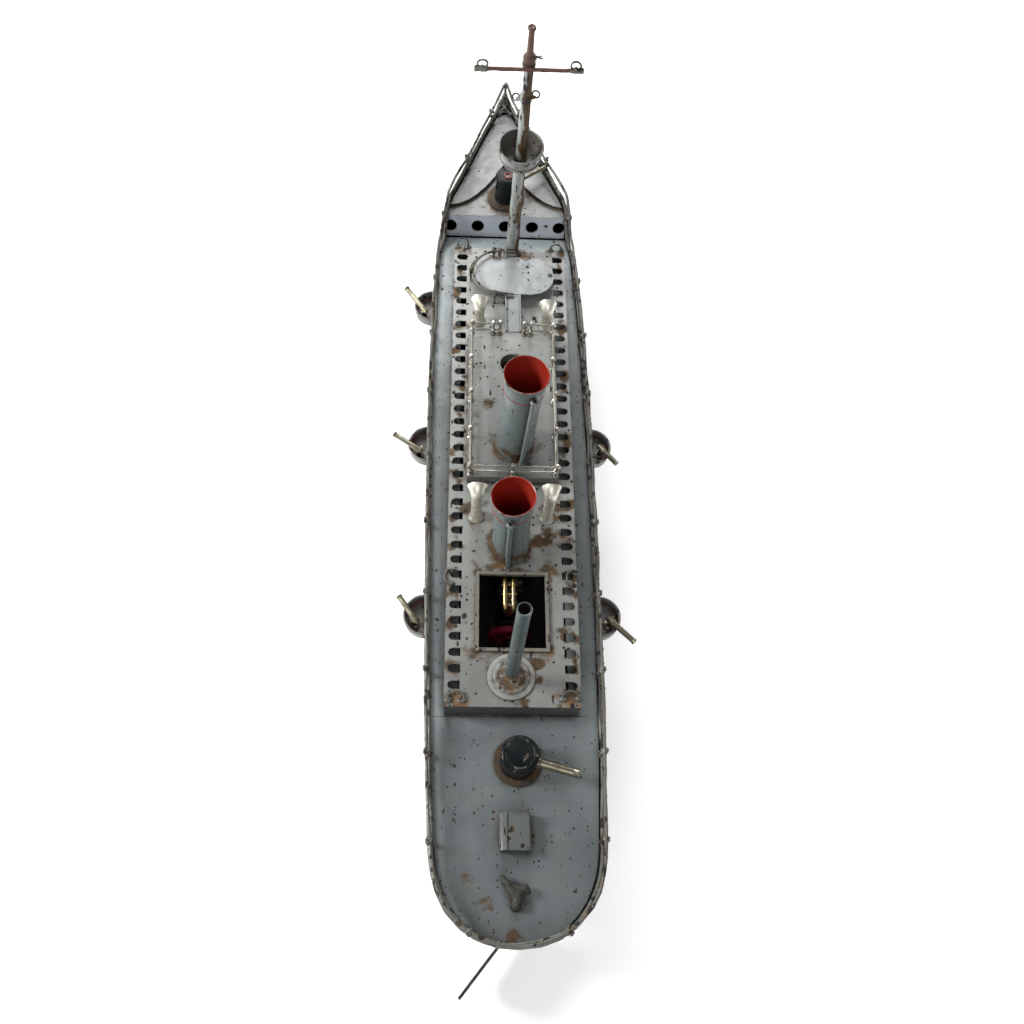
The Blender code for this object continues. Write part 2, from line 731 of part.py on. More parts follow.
def rudder():
    """Blade and stock with a short tiller under the counter deck."""
    x, y = RUDDER_STOCK
    low, high = RUDDER_Z
    stock = rod("rudder", (x, y, low + 2), (x, y, TILLER_Z + 2.2), 1.7, "iron", sides=12)
    curve_blade = plate("blade", [blade_outline()], -0.5, 0.5, "iron")
    blade = as_mesh(curve_blade)
    stand_up = Matrix.Rotation(math.pi / 2, 4, "X")
    face_aft = Matrix.Rotation(RUDDER_TURN - math.pi / 2, 4, "Z")
    blade.matrix_world = Matrix.Translation(point(x, y, 0)) @ face_aft @ stand_up
    arm_x, arm_y = tiller_end(RUDDER_STOCK)
    join(
        stock,
        blade,
        rod("tiller", (x, y, TILLER_Z), (arm_x, arm_y, TILLER_Z), 1.2, "iron", sides=8),
    )
    set_origin(stock, x, y, 0)


def tiller_end(centre):
    """End of a tiller arm, which points to starboard when the rudder is straight."""
    return (
        centre[0] + TILLER_LENGTH * math.cos(RUDDER_TURN),
        centre[1] + TILLER_LENGTH * math.sin(RUDDER_TURN),
    )


def steering_handle():
    """A butterfly handle on a post through the deck, with an arm below for the link."""
    x, y = STEERING_POST
    top = MAIN_DECK_Z + 7.0
    handle = rod("steering_handle", (x, y, TILLER_Z - 1.2), (x, y, top), 1.45, "nickel", sides=10)
    arm_x, arm_y = tiller_end(STEERING_POST)
    wing = as_mesh(plate("wing", [WING_OUTLINE], -0.6, 0.6, "nickel"))
    wing.matrix_world = Matrix.Translation(point(x, y, top - 0.6))
    join(
        handle,
        wing,
        rod("arm", (x, y, TILLER_Z), (arm_x, arm_y, TILLER_Z), 1.1, "nickel", sides=8),
    )
    set_origin(handle, x, y, MAIN_DECK_Z)


def steering_link():
    """The rod that keeps the two arms parallel, just above them."""
    start = tiller_end(STEERING_POST)
    end = tiller_end(RUDDER_STOCK)
    z = TILLER_Z + 1.2 + GAP + 0.7
    link = rod("steering_link", (*start, z), (*end, z), 0.7, "iron", sides=8)
    set_origin(link, *start, z)


def stern_tube():
    tube = turned("stern_tube", tube_profile(3.0, 1.1, -38.0, 0.0), (0, -222.0, SHAFT_Z), "brass", steps=14)
    tube.rotation_euler = (-math.pi / 2, 0, 0)


def propeller_shaft():
    """The shaft with the crank disc and pin at its forward end."""
    fore, aft = (0, CRANK_Y - 1, SHAFT_Z), (0, PROPELLER_Y + 6, SHAFT_Z)
    shaft = rod("propeller_shaft", fore, aft, 1.5, "iron", sides=12)
    disc = rod("crank_disc", (0, CRANK_Y, SHAFT_Z), (0, CRANK_Y - 2.2, SHAFT_Z), 8.4, "iron", sides=18)
    pin_z = SHAFT_Z + CRANK_THROW
    pin = rod("crank_pin", (0, CRANK_Y + 1.4, pin_z), (0, CRANK_Y - 1, pin_z), 1.0, "iron", sides=8)
    join(shaft, disc, pin)
    set_origin(shaft, 0, CRANK_Y, SHAFT_Z)


def flywheel():
    """A spoked-look wheel with a heavy rim, turned about the shaft."""
    rim = FLYWHEEL_RADIUS
    profile = [
        (rim, 2.4),
        (rim, -2.4),
        (rim - 3, -2.4),
        (rim - 3.4, -0.9),
        (4.2, -0.9),
        (4.0, -3.0),
        (1.5 + GAP, -3.0),
        (1.5 + GAP, 3.0),
        (4.0, 3.0),
        (4.2, 0.9),
        (rim - 3.4, 0.9),
        (rim - 3, 2.4),
    ]
    wheel = turned("flywheel", profile, (0, FLYWHEEL_Y, SHAFT_Z), "red_paint", steps=18)
    wheel.rotation_euler = (-math.pi / 2, 0, 0)


def propeller():
    """Three twisted blades on a hub."""
    fore, aft = (0, PROPELLER_Y + 5.5, SHAFT_Z), (0, PROPELLER_Y - 4.5, SHAFT_Z)
    hub = rod("propeller", fore, aft, 2.9, "brass", sides=14, end_radius=1.6)
    bore_ends = (0, PROPELLER_Y + 8, SHAFT_Z), (0, PROPELLER_Y - 0.5, SHAFT_Z)
    cut(hub, rod("hub_bore", *bore_ends, 1.5 + GAP, "brass"))
    for i in range(3):
        blade = as_mesh(plate(f"screw_{i}", [circle((0, 0), 1.0, 14)], -0.45, 0.45, "brass"))
        blade.data.transform(Matrix.Diagonal((4.6, 5.6, 1.0, 1.0)))
        blade.data.transform(Matrix.Translation(point(0, PROPELLER_RADIUS - 5.6, 0)))
        pitch = Matrix.Rotation(math.radians(38), 4, "Y")
        spread = Matrix.Rotation(math.radians(120 * i), 4, "Z")
        face_aft = Matrix.Rotation(math.pi / 2, 4, "X")
        blade.matrix_world = Matrix.Translation(point(0, PROPELLER_Y, SHAFT_Z)) @ face_aft @ spread @ pitch
        join(hub, blade)
    set_origin(hub, 0, PROPELLER_Y, SHAFT_Z)


# ---------------------------------------------------------------- boiler and engine


def boiler():
    """A long boiler on two saddles, with an open filler on its forward end."""
    aft, fore = BOILER_Y
    length = fore - aft
    radius = BOILER_RADIUS
    profile = [
        (0, length / 2),
        (radius - 5, length / 2 - 0.6),
        (radius, length / 2 - 5),
        (radius, -length / 2 + 5),
        (radius - 5, -length / 2 + 0.6),
        (0, -length / 2),
    ]
    shell = turned("boiler", profile, (0, (fore + aft) / 2, BOILER_Z), "copper", steps=20, closed=False)
    shell.rotation_euler = (-math.pi / 2, 0, 0)
    room = (0, aft + 6, BOILER_Z), (0, fore - 6, BOILER_Z)
    hollow = rod("water_space", *room, radius - 1.2, "copper", sides=24)
    filler_y = fore - 22
    filler_top = (0, filler_y, BOILER_Z + radius + 5)
    filler = rod("filler", (0, filler_y, BOILER_Z), filler_top, 3.0, "copper", sides=12)
    cut(shell, hollow, filler)
    for i, y in enumerate((fore - 30, aft + 30)):
        saddle = box(f"saddle_{i}", (-14, y - 1, HOLD_Z), (14, y + 1, BOILER_Z - 12), "copper")
        seat_ends = (0, y - 5, BOILER_Z), (0, y + 5, BOILER_Z)
        cut(saddle, rod(f"saddle_cut_{i}", *seat_ends, radius - 0.6, "copper", sides=24))
        join(shell, saddle)


def burner():
    """The spirit tray with its wick tubes."""
    aft, fore = BOILER_Y[0] + 34, BOILER_Y[1] - 34
    tray = box("burner", (-9, aft, HOLD_Z), (9, fore, 7.5), "brass")
    count = 4
    for i in range(count):
        y = aft + (fore - aft) * (i + 0.5) / count
        join(tray, rod(f"wick_{i}", (0, y, 6), (0, y, 12.5), 3.2, "brass", sides=12))
    cut(tray, rod("spirit_filler", (0, aft + 6, 4), (0, aft + 6, 10), 2.0, "brass", sides=10))


def steam_pipe(name, x):
    """A brass pipe from the boiler's after end to the engine's port block."""
    start_y = BOILER_Y[0] - GAP
    bends = [(start_y, 47.0), (start_y - 4, 48.5), (start_y - 9, 54.5), (start_y - 14, 57.5), (-107.0, 58.0)]
    points = [(x, y, z) for y, z in bends]
    wire(name, points, 1.5, "brass", resolution=2)


def engine_frame():
    """Base, standard with the port block, and the shaft bearing abaft the flywheel."""
    foot = HOLD_Z
    frame = box("engine_frame", (-11, -146, foot), (11, -107.5, foot + 2.2), "iron")
    standard = box("standard", (-8, -112.1, foot + 1), (8, -109.8, 60), "iron")
    block = box("port_block", (-6, -112.1, 46), (6, -107.4, 62), "iron")
    bearing = box("bearing", (-6.5, -143, foot + 1), (6.5, -139, SHAFT_Z + 5), "iron")
    cut(bearing, rod("bearing_bore", (0, -136, SHAFT_Z), (0, -146, SHAFT_Z), 1.5 + GAP, "iron", sides=14))
    join(frame, standard, block, bearing)
    bore_ends = (0, -113, CYLINDER_PIVOT_Z), (0, -108.9, CYLINDER_PIVOT_Z)
    cut(frame, rod("port_bore", *bore_ends, 1.6 + GAP, "iron"))


def steam_cylinder():
    """The oscillating cylinder, open below, on its trunnion."""
    y = CRANK_Y + 2.6
    low, high = -9.0, 9.0
    profile = [
        (0, high),
        (3.2, high),
        (4.3, high - 1),
        (4.3, low),
        (3.2, low),
        (3.2, high - 2),
        (0, high - 2),
    ]
    cylinder = turned("steam_cylinder", profile, (0, y, CYLINDER_PIVOT_Z), "nickel", steps=18, closed=False)
    trunnion_ends = (0, y + 3.6, CYLINDER_PIVOT_Z), (0, y + 7.4, CYLINDER_PIVOT_Z)
    trunnion = rod("trunnion", *trunnion_ends, 1.6, "nickel", sides=10)
    join(cylinder, trunnion)


def piston():
    """Piston, rod and the big end, which hangs just forward of the crank pin."""
    y = CRANK_Y + 2.6
    pin_z = SHAFT_Z + CRANK_THROW
    crown = CYLINDER_PIVOT_Z + 6.4
    body = rod("piston", (0, y, crown - 4), (0, y, crown), 2.85, "iron", sides=14)
    stem = rod("piston_rod", (0, y, pin_z + 1.4), (0, y, crown - 2), 0.8, "iron", sides=8)
    big_end = rod("big_end", (0, y - 0.6, pin_z), (0, y + 0.6, pin_z), 2.2, "iron", sides=14)
    join(body, stem, big_end)
    cut(body, rod("big_end_bore", (0, y - 3, pin_z), (0, y + 3, pin_z), 1.0 + GAP, "iron", sides=10))


def regulator_valve():
    """A butterfly tap on the port block."""
    y, z = -108.2, 63.6
    valve = rod("regulator_valve", (0, y - 1.0, z - 1.2), (0, y - 1.0, z + 5.5), 1.5, "nickel", sides=10)
    wing = box("valve_wing", (-6.4, y - 1.6, z + 3.2), (6.4, y - 0.4, z + 6.4), "nickel")
    join(valve, wing)
    set_origin(valve, 0, y - 1.0, z)


# ---------------------------------------------------------------- superstructure


def superstructure_walls():
    half = HOUSE_HALF_WIDTH - 0.4
    outer = rectangle((-half, HOUSE_AFT_Y + 0.4), (half, HOUSE_FORE_Y - 0.4))
    inner = rectangle((-half + SHEET, HOUSE_AFT_Y + 0.4 + SHEET), (half - SHEET, HOUSE_FORE_Y - 0.4 - SHEET))
    plate("superstructure_walls", [outer, inner], MAIN_DECK_Z + GAP, HOUSE_TOP_Z - SHEET - GAP, "grey_paint")


def slot_outline(side, y):
    """A slot with a square inner end and a round outer end."""
    radius = SLOT_WIDTH / 2
    centre_x = SLOT_OUTER_X - radius
    round_end = arc((centre_x, y), radius, -90, 90, 4)
    points = [(SLOT_INNER_X, y - radius)] + round_end + [(SLOT_INNER_X, y + radius)]
    return [(side * x, py) for x, py in points]


def superstructure_deck():
    edge = rectangle((-HOUSE_HALF_WIDTH, HOUSE_AFT_Y), (HOUSE_HALF_WIDTH, HOUSE_FORE_Y))
    hatch = rectangle((-HATCH_HALF_WIDTH, HATCH_Y[0]), (HATCH_HALF_WIDTH, HATCH_Y[1]))
    slots = []
    for i in range(SLOT_COUNT):
        y = SLOT_FIRST_Y + SLOT_PITCH * i
        slots += [slot_outline(-1, y), slot_outline(1, y)]
    uptake = circle(BOAT_DECK_HOLE, BOAT_DECK_HOLE_RADIUS + 1.5, 16)
    outlines = [edge, hatch, uptake] + slots
    plate("superstructure_deck", outlines, HOUSE_TOP_Z - SHEET, HOUSE_TOP_Z, "pale_paint")


def hatch_coaming():
    low = HOUSE_TOP_Z + GAP
    outer = rectangle((-HATCH_HALF_WIDTH - 2.2, HATCH_Y[0] - 2.2), (HATCH_HALF_WIDTH + 2.2, HATCH_Y[1] + 2.2))
    inner = rectangle((-HATCH_HALF_WIDTH, HATCH_Y[0]), (HATCH_HALF_WIDTH, HATCH_Y[1]))
    plate("hatch_coaming", [outer, inner], low, low + 1.3, "pale_paint")


def boat_deck():
    """A shallow box lid with a round hole ahead of the funnel."""
    low = (BOAT_DECK_X[0], BOAT_DECK_Y[0], HOUSE_TOP_Z + GAP)
    high = (BOAT_DECK_X[1], BOAT_DECK_Y[1], BOAT_DECK_Z)
    lid = box("boat_deck", low, high, "pale_paint")
    hollow_low = (low[0] + SHEET, low[1] + SHEET, low[2] - 3)
    hollow_high = (high[0] - SHEET, high[1] - SHEET, high[2] - SHEET)
    hole_low = (*BOAT_DECK_HOLE, BOAT_DECK_Z - 5)
    hole_high = (*BOAT_DECK_HOLE, BOAT_DECK_Z + 5)
    cut(
        lid,
        box("lid_hollow", hollow_low, hollow_high, "pale_paint"),
        rod("lid_hole", hole_low, hole_high, BOAT_DECK_HOLE_RADIUS, "pale_paint", sides=20),
    )


def boat_deck_rail():
    """Two wires on thin posts round the boat deck, open at the catwalk."""
    inset = 1.6
    x_port, x_starboard = BOAT_DECK_X[0] + inset, BOAT_DECK_X[1] - inset
    y_aft, y_fore = BOAT_DECK_Y[0] + inset, BOAT_DECK_Y[1] - inset
    gate = (-7.0, 9.6)
    path = [
        (gate[0], y_fore),
        (x_port, y_fore),
        (x_port, y_aft),
        (x_starboard, y_aft),
        (x_starboard, y_fore),
        (gate[1], y_fore),
    ]
    wires = []
    for i, height in enumerate(RAIL_HEIGHTS):
        points = [(x, y, BOAT_DECK_Z + height) for x, y in path]
        wires.append(as_mesh(wire(f"deck_wire_{i}", points, 0.6, "nickel", resolution=0)))
    bpy.context.view_layer.update()
    rail = joined_meshes("boat_deck_rail", wires, "nickel")
    spots = [(gate[0], y_fore), (gate[1], y_fore), ((x_port + x_starboard) / 2, y_aft)]
    for i in range(5):
        y = y_aft + (y_fore - y_aft) * i / 4
        spots += [(x_port, y), (x_starboard, y)]
    posts = []
    for x, y in spots:
        foot = (x, y, BOAT_DECK_Z + GAP)
        tip = (x, y, BOAT_DECK_Z + RAIL_HEIGHTS[1] + 1.6)
        posts.append(rod("rail_post", foot, tip, 0.95, "nickel", sides=5))
    join(rail, joined_meshes("deck_rail_posts", posts, "nickel"))


def racetrack(centre, half_length, half_width, steps=8):
    """An outline with straight long sides and round ends to port and starboard."""
    straight = half_length - half_width
    starboard = arc((centre[0] + straight, centre[1]), half_width, -90, 90, steps)
    port = arc((centre[0] - straight, centre[1]), half_width, 90, 270, steps)
    return starboard + port


def bridge_platform():
    """The round-ended bridge on its skirt."""
    top = as_mesh(
        plate(
            "bridge_platform",
            [racetrack(BRIDGE_CENTRE, BRIDGE_HALF_LENGTH, BRIDGE_HALF_WIDTH)],
            BOAT_DECK_Z - SHEET,
            BOAT_DECK_Z,
            "pale_paint",
        )
    )
    x, y = BRIDGE_CENTRE
    skirt_low = (x - 12, y - 9, HOUSE_TOP_Z + GAP)
    skirt = box("bridge_skirt", skirt_low, (x + 12, y + 9, BOAT_DECK_Z - 0.4), "pale_paint")
    join(top, skirt)


def bridge_rail():
    """The wire rail round the port half of the bridge, on three stays."""
    x, y = BRIDGE_CENTRE
    radius = BRIDGE_HALF_WIDTH + 2.6
    bend = (x - BRIDGE_HALF_LENGTH + BRIDGE_HALF_WIDTH, y)
    z = BOAT_DECK_Z + 2.2
    path = [(x - 5.0, y + radius, z)]
    path += [(px, py, z) for px, py in arc(bend, radius, 90, 270, 12)]
    path += [(x - 2.0, y - radius, z)]
    rail = as_mesh(wire("bridge_rail", path, 0.9, "wire_paint"))
    for i, degrees in enumerate((100, 180, 260)):
        turn = math.radians(degrees)
        outer = (bend[0] + radius * math.cos(turn), bend[1] + radius * math.sin(turn), z)
        low = (outer[0], outer[1], HOUSE_TOP_Z + GAP)
        join(rail, rod(f"bridge_stay_{i}", low, (outer[0], outer[1], z + 0.3), 0.8, "wire_paint", sides=6))


def catwalk():
    """A channel with raised lips from the bridge to the boat deck."""
    y_low = BOAT_DECK_Y[1] + GAP
    y_high = BRIDGE_CENTRE[1] - BRIDGE_HALF_WIDTH - GAP
    low = (CATWALK_X[0], y_low, BOAT_DECK_Z - SHEET)
    walk = box("catwalk", low, (CATWALK_X[1], y_high, BOAT_DECK_Z + 1.2), "pale_paint")
    cut(
        walk,
        box(
            "walk_channel",
            (CATWALK_X[0] + 0.9, y_low - 2, BOAT_DECK_Z),
            (CATWALK_X[1] - 0.9, y_high + 2, BOAT_DECK_Z + 4),
            "pale_paint",
        ),
    )


# ---------------------------------------------------------------- masts


def up_mast(distance, aside=0.0, abaft=0.0):
    """A point on the foremast's axis, or beside it."""
    x = FOREMAST[0] - distance * math.sin(FOREMAST_LEAN) + aside
    y = FOREMAST[1] - distance * math.sin(FOREMAST_RAKE) - abaft
    z = HOUSE_TOP_Z + distance * math.cos(FOREMAST_RAKE)
    return x, y, z


def rake(obj):
    """Tilts a turned piece to lie along the foremast."""
    obj.rotation_euler = (FOREMAST_RAKE, -FOREMAST_LEAN, 0)


def foremast():
    foot = 0.9
    profile = [(0, FOREMAST_LENGTH), (2.4, FOREMAST_LENGTH), (3.0, 122), (3.8, 100), (4.5, foot), (0, foot)]
    mast = turned("foremast", profile, up_mast(0), "grey_paint", steps=16, closed=False)
    rake(mast)


def fighting_top():
    """A tapered tub round the mast with a hole in its floor."""
    hole = 4.1 + GAP
    height = FIGHTING_TOP_HEIGHT
    profile = [
        (14.0, height),
        (13.6, height - 2.0),
        (11.4, 0),
        (hole, 0),
        (hole, 0.9),
        (10.6, 0.9),
        (12.7, height - 2),
        (13.1, height),
    ]
    tub = turned("fighting_top", profile, up_mast(FIGHTING_TOP_FOOT), "grey_paint", steps=20)
    rake(tub)


def topmast():
    low = FOREMAST_LENGTH + GAP
    profile = [(0, TOPMAST_LENGTH), (1.9, TOPMAST_LENGTH), (1.9, 4), (3.0, 3.6), (3.0, 0), (0, 0)]
    mast = turned("topmast", profile, up_mast(low), "mast_paint", steps=12, closed=False)
    rake(mast)


def ring_wire(name, centre, radius, thickness, finish):
    """A small ring standing across the ship."""
    points = [(centre[0] + x, centre[1], centre[2] + z) for x, z in circle((0, 0), radius, 12)]
    return as_mesh(wire(name, points, thickness, finish, closed=True))


def yard():
    """The signal yard with a ring at each end, just abaft the mast."""
    abaft = 2.7 + GAP + 1.3
    start = up_mast(YARD_UP_MAST - YARD_TILT, -YARD_HALF_LENGTH, abaft)
    end = up_mast(YARD_UP_MAST + YARD_TILT, YARD_HALF_LENGTH, abaft)
    spar = rod("yard", start, end, 1.2, "mast_paint", sides=8)
    for name, inward, spot in (("port", 3.0, start), ("starboard", -3.0, end)):
        centre = (spot[0] + inward, spot[1], spot[2] + 3.6)
        join(spar, ring_wire(f"yard_ring_{name}", centre, 3.0, 0.5, "mast_paint"))


def aft_mast():
    """An open tube with a stepped foot."""
    top = AFT_MAST_TOP_Z - HOUSE_TOP_Z
    foot = GAP
    profile = [
        (3.8, top),
        (4.3, 7.0),
        (7.0, 6.2),
        (7.0, 3.6),
        (10.5, 3.0),
        (10.5, 1.6),
        (14.0, 1.2),
        (14.0, foot),
        (3.0, foot),
        (3.0, top),
    ]
    turned("aft_mast", profile, (*AFT_MAST, HOUSE_TOP_Z), "pale_paint", steps=16)


# ---------------------------------------------------------------- funnels and ventilators


def funnel(name, centre, radius, low, high, lean):
    """An open tube with a slightly wider collar at the top."""
    height = high - low
    collar = 8.5
    waist = radius - FUNNEL_WAIST
    profile = [
        (radius + FUNNEL_RIM_FLARE, height),
        (waist + 0.5, height - collar),
        (waist, height - collar - 0.8),
        (radius, GAP),
        (radius - 1.0, GAP),
        (waist - 1.0, height - collar - 0.8),
        (radius + FUNNEL_RIM_FLARE - 1.0, height),
    ]
    tube = turned(name, profile, (*centre, low + math.sin(abs(lean)) * radius), "grey_paint", steps=20)
    tube.rotation_euler = (0, lean, 0)


def funnel_pipe(name, funnel_centre, radius, low, high, lean, bearing):
    """The waste-steam pipe up the funnel's side, parallel to it and open at the top."""
    across, ahead = bearing_vector(math.radians(bearing))
    reach = radius + 0.7 + STEAM_PIPE_RADIUS + GAP
    base = (funnel_centre[0] + across * reach, funnel_centre[1] + ahead * reach, low + 0.3)
    pipe = turned(name, tube_profile(STEAM_PIPE_RADIUS, 0.6, GAP, high - low), base, "grey_paint", steps=10)
    pipe.rotation_euler = (0, lean, 0)


def ventilator(name, x, y, height):
    """A cowl: a stem, a round elbow and a cone that flares forward to an open mouth."""
    stem = VENTILATOR_STEM_RADIUS
    wide = VENTILATOR_MOUTH_RADIUS
    z = HOUSE_TOP_Z + height
    cowl = rod(name, (x, y, HOUSE_TOP_Z + GAP), (x, y, z), stem, "nickel", sides=14)
    elbow = [(0, 3.6), (2.6, 2.9), (4.0, 1.2), (4.3, -0.8), (4.0, -3.0), (0, -4.0)]
    throat = (x, y - 1.8, z - 1.6)
    rim = (x, y + VENTILATOR_REACH, z + 0.3)
    join(
        cowl,
        as_mesh(turned(f"elbow_{name}", elbow, (x, y, z), "nickel", steps=14, closed=False)),
        rod(f"cone_{name}", throat, rim, stem + 0.2, "nickel", sides=16, end_radius=wide),
    )
    inner = (x, y + 0.6, z - 0.8)
    outer = (x, rim[1] + 0.4, rim[2] + 0.1)
    cut(cowl, rod(f"mouth_{name}", inner, outer, 3.2, "nickel", sides=16, end_radius=wide - 0.5))
    set_origin(cowl, x, y, HOUSE_TOP_Z)


# ---------------------------------------------------------------- assembly


def build_hull():
    hull_shell()
    bottom_plate()
    main_deck()
    gun_deck()
    forecastle_deck()
    guard_rail()
    jackstaff()
    companion_hood()
    for name, (side, out, y, post_y, bearing, reach) in SPONSONS.items():
        tub_side = sponson(name, side, out, y)
        sponson_gun(name, side, post_y, tub_side, bearing, reach)
    turret(
        "bow", BOW_TURRET, GUN_DECK_Z, BOW_TURRET_RADIUS, BOW_TURRET_HEIGHT, 13.4,
        BOW_BARREL_BEARING, BOW_BARREL_REACH, BOW_BARREL_RADIUS, BOW_BARREL_HEIGHT,
    )
    turret(
        "aft", AFT_TURRET, MAIN_DECK_Z, AFT_TURRET_RADIUS, AFT_TURRET_HEIGHT, 14.2,
        AFT_BARREL_BEARING, AFT_BARREL_REACH, AFT_BARREL_RADIUS, AFT_BARREL_HEIGHT,
    )


def build_machinery():
    rudder()
    steering_handle()
    steering_link()
    stern_tube()
    propeller_shaft()
    flywheel()
    propeller()
    boiler()
    burner()
    steam_pipe("steam_pipe_port", -3.4)
    steam_pipe("steam_pipe_starboard", 3.4)
    engine_frame()
    steam_cylinder()
    piston()
    regulator_valve()


def seat(pieces):
    """Sets pieces made square to the hull a little askew, as the superstructure sits."""
    frame = bpy.data.objects.new("superstructure_seat", None)
    HELPERS.objects.link(frame)
    frame.hide_render = True
    frame.location = point(*SEAT_SHIFT, 0)
    frame.rotation_euler = (0, 0, SEAT_TURN)
    for piece in pieces:
        piece.parent = frame


def build_superstructure():
    already = set(bpy.data.objects)
    superstructure_walls()
    superstructure_deck()
    hatch_coaming()
    boat_deck()
    boat_deck_rail()
    bridge_platform()
    bridge_rail()
    catwalk()
    foremast()
    fighting_top()
    topmast()
    yard()
    aft_mast()
    front = (FRONT_FUNNEL, FRONT_FUNNEL_RADIUS, BOAT_DECK_Z)
    aft = (AFT_FUNNEL, AFT_FUNNEL_RADIUS, HOUSE_TOP_Z)
    funnel("front_funnel", *front, FRONT_FUNNEL_TOP_Z, FRONT_FUNNEL_LEAN)
    funnel("aft_funnel", *aft, AFT_FUNNEL_TOP_Z, AFT_FUNNEL_LEAN)
    funnel_pipe("front_steam_pipe", *front, FRONT_FUNNEL_TOP_Z - 6, FRONT_FUNNEL_LEAN, 161)
    funnel_pipe("aft_steam_pipe", *aft, AFT_FUNNEL_TOP_Z - 7, AFT_FUNNEL_LEAN, 187)
    for name, place in VENTILATORS.items():
        ventilator(name, *place)
    seat([obj for obj in bpy.data.objects if obj not in already])


clear_scene()
PARTS = new_collection("toy_battleship")
HELPERS = new_collection("cutters_and_guides")
build_hull()
build_machinery()
build_superstructure()
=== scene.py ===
"""The looks of a tinplate toy battleship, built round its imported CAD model.

Every place comes from the frame: a node's box or vertices, or a joint's axis. Places are vectors
in metres, and the lengths given to the functions below (radii, steps, heights) are in millimetres.
X is to starboard, Y to the bow and Z up, as in the CAD model.
"""

import json
import math

import bmesh
import bpy
import numpy as np
from mathutils import Matrix, Vector, noise
from mathutils.bvhtree import BVHTree


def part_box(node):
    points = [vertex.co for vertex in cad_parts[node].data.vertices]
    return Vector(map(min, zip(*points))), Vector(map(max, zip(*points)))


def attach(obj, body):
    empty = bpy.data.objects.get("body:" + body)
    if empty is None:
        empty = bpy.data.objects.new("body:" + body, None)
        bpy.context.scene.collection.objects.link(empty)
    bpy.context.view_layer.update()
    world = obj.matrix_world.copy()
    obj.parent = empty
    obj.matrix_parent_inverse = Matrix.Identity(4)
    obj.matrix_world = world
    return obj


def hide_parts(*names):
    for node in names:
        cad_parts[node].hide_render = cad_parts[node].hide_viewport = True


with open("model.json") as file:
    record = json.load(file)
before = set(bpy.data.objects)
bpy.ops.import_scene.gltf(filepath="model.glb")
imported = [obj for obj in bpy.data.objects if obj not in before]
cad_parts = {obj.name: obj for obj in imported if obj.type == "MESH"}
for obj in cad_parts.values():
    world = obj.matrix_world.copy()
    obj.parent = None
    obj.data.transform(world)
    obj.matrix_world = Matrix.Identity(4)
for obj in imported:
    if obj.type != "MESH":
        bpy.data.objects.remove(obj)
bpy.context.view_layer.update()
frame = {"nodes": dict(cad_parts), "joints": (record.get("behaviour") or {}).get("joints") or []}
noise.seed_set(11)  # the wires' bends are the same each run

MM = 0.001
NODES = frame["nodes"]
JOINTS = {joint["child"]: joint for joint in frame["joints"]}
FINISHES = {}

STARBOARD = Vector((1, 0, 0))
FORWARD = Vector((0, 1, 0))
UP = Vector((0, 0, 1))

# Driving dimensions of the fine work, in millimetres
RAIL_WIRE = 1.05
RAIL_UPPER = (-0.6, 10.0)  # out from the hull's edge, and up from it
RAIL_LOWER = (-1.8, 4.5)
RAIL_POST_PITCH = 49.0
RAIL_FIRST_POST_Y = -266.0
DECK_WIRE = 0.62
WATERLINE = 24
STERN_ROUND_Y = -262.0  # where the hull's sides turn into the round stern
BELOW_EDGE = 58.0  # a height that is on the hull's side everywhere
WELL_OUTSIDE = 300.0
FUNNEL_COLLAR = 13.4
RING_DEPTH = 1.6
MERGE = 0.01

# ---------------------------------------------------------------- reading the frame


def mm(x, y, z=0.0):
    """A step given in millimetres."""
    return Vector((x, y, z)) * MM


def vertices(node):
    """A CAD node's vertices as an array, in metres."""
    mesh = NODES[node].data
    places = np.zeros(len(mesh.vertices) * 3)
    mesh.vertices.foreach_get("co", places)
    return places.reshape(-1, 3)


def ring_at(node, top=False):
    """Centre of a node's lowest ring, or of its top one, and the ring's radius in millimetres."""
    places = vertices(node)
    level = places[:, 2].max() if top else places[:, 2].min()
    ring = places[np.abs(places[:, 2] - level) < RING_DEPTH * MM]
    low, high = ring.min(0), ring.max(0)
    centre = (high + low) / 2
    centre[2] = level
    return Vector(centre), (high[:2] - low[:2]).max() / 2 / MM


def farthest(node, axis, depth):
    """A node's vertices that are farthest from an upright axis."""
    places = vertices(node)
    reach = np.hypot(places[:, 0] - axis[0], places[:, 1] - axis[1])
    return places[reach > reach.max() - depth * MM]


def barrel_tip(node, axis):
    """The centre of a gun's muzzle."""
    far = farthest(node, axis, 1.2)
    return Vector((far.max(0) + far.min(0)) / 2)


def deck_seat():
    """The loose superstructure's own frame: its middle, and how far it is turned on the hull."""
    places = vertices("superstructure_deck")
    fore = places[(places[:, 0] + places[:, 1]).argmax()]
    aft = places[(places[:, 0] - places[:, 1]).argmax()]
    turn = -math.atan2(fore[0] - aft[0], fore[1] - aft[1])
    low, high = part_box("superstructure_deck")
    middle = (low + high) / 2
    return Matrix.Translation((middle.x, middle.y, high.z)) @ Matrix.Rotation(turn, 4, "Z")


SEAT = deck_seat()
SEAT_RIGHT = (SEAT.to_3x3() @ STARBOARD).normalized()
SEAT_AHEAD = (SEAT.to_3x3() @ FORWARD).normalized()


def seat_box(node):
    """A node's box in the superstructure's own frame, in millimetres."""
    places = np.array([SEAT.inverted() @ Vector(p) for p in vertices(node)]) / MM
    return Vector(places.min(0)), Vector(places.max(0))


def seated(x, y, z=0.0):
    """A place given in millimetres in the superstructure's own frame, from its deck's middle."""
    return SEAT @ mm(x, y, z)


def pivot(body):
    """A point on the axis of a body's joint."""
    return Vector(JOINTS[body]["pos_m"])


def nodes_named(*starts):
    return [name for name in NODES if name.startswith(starts)]


# ---------------------------------------------------------------- shapes


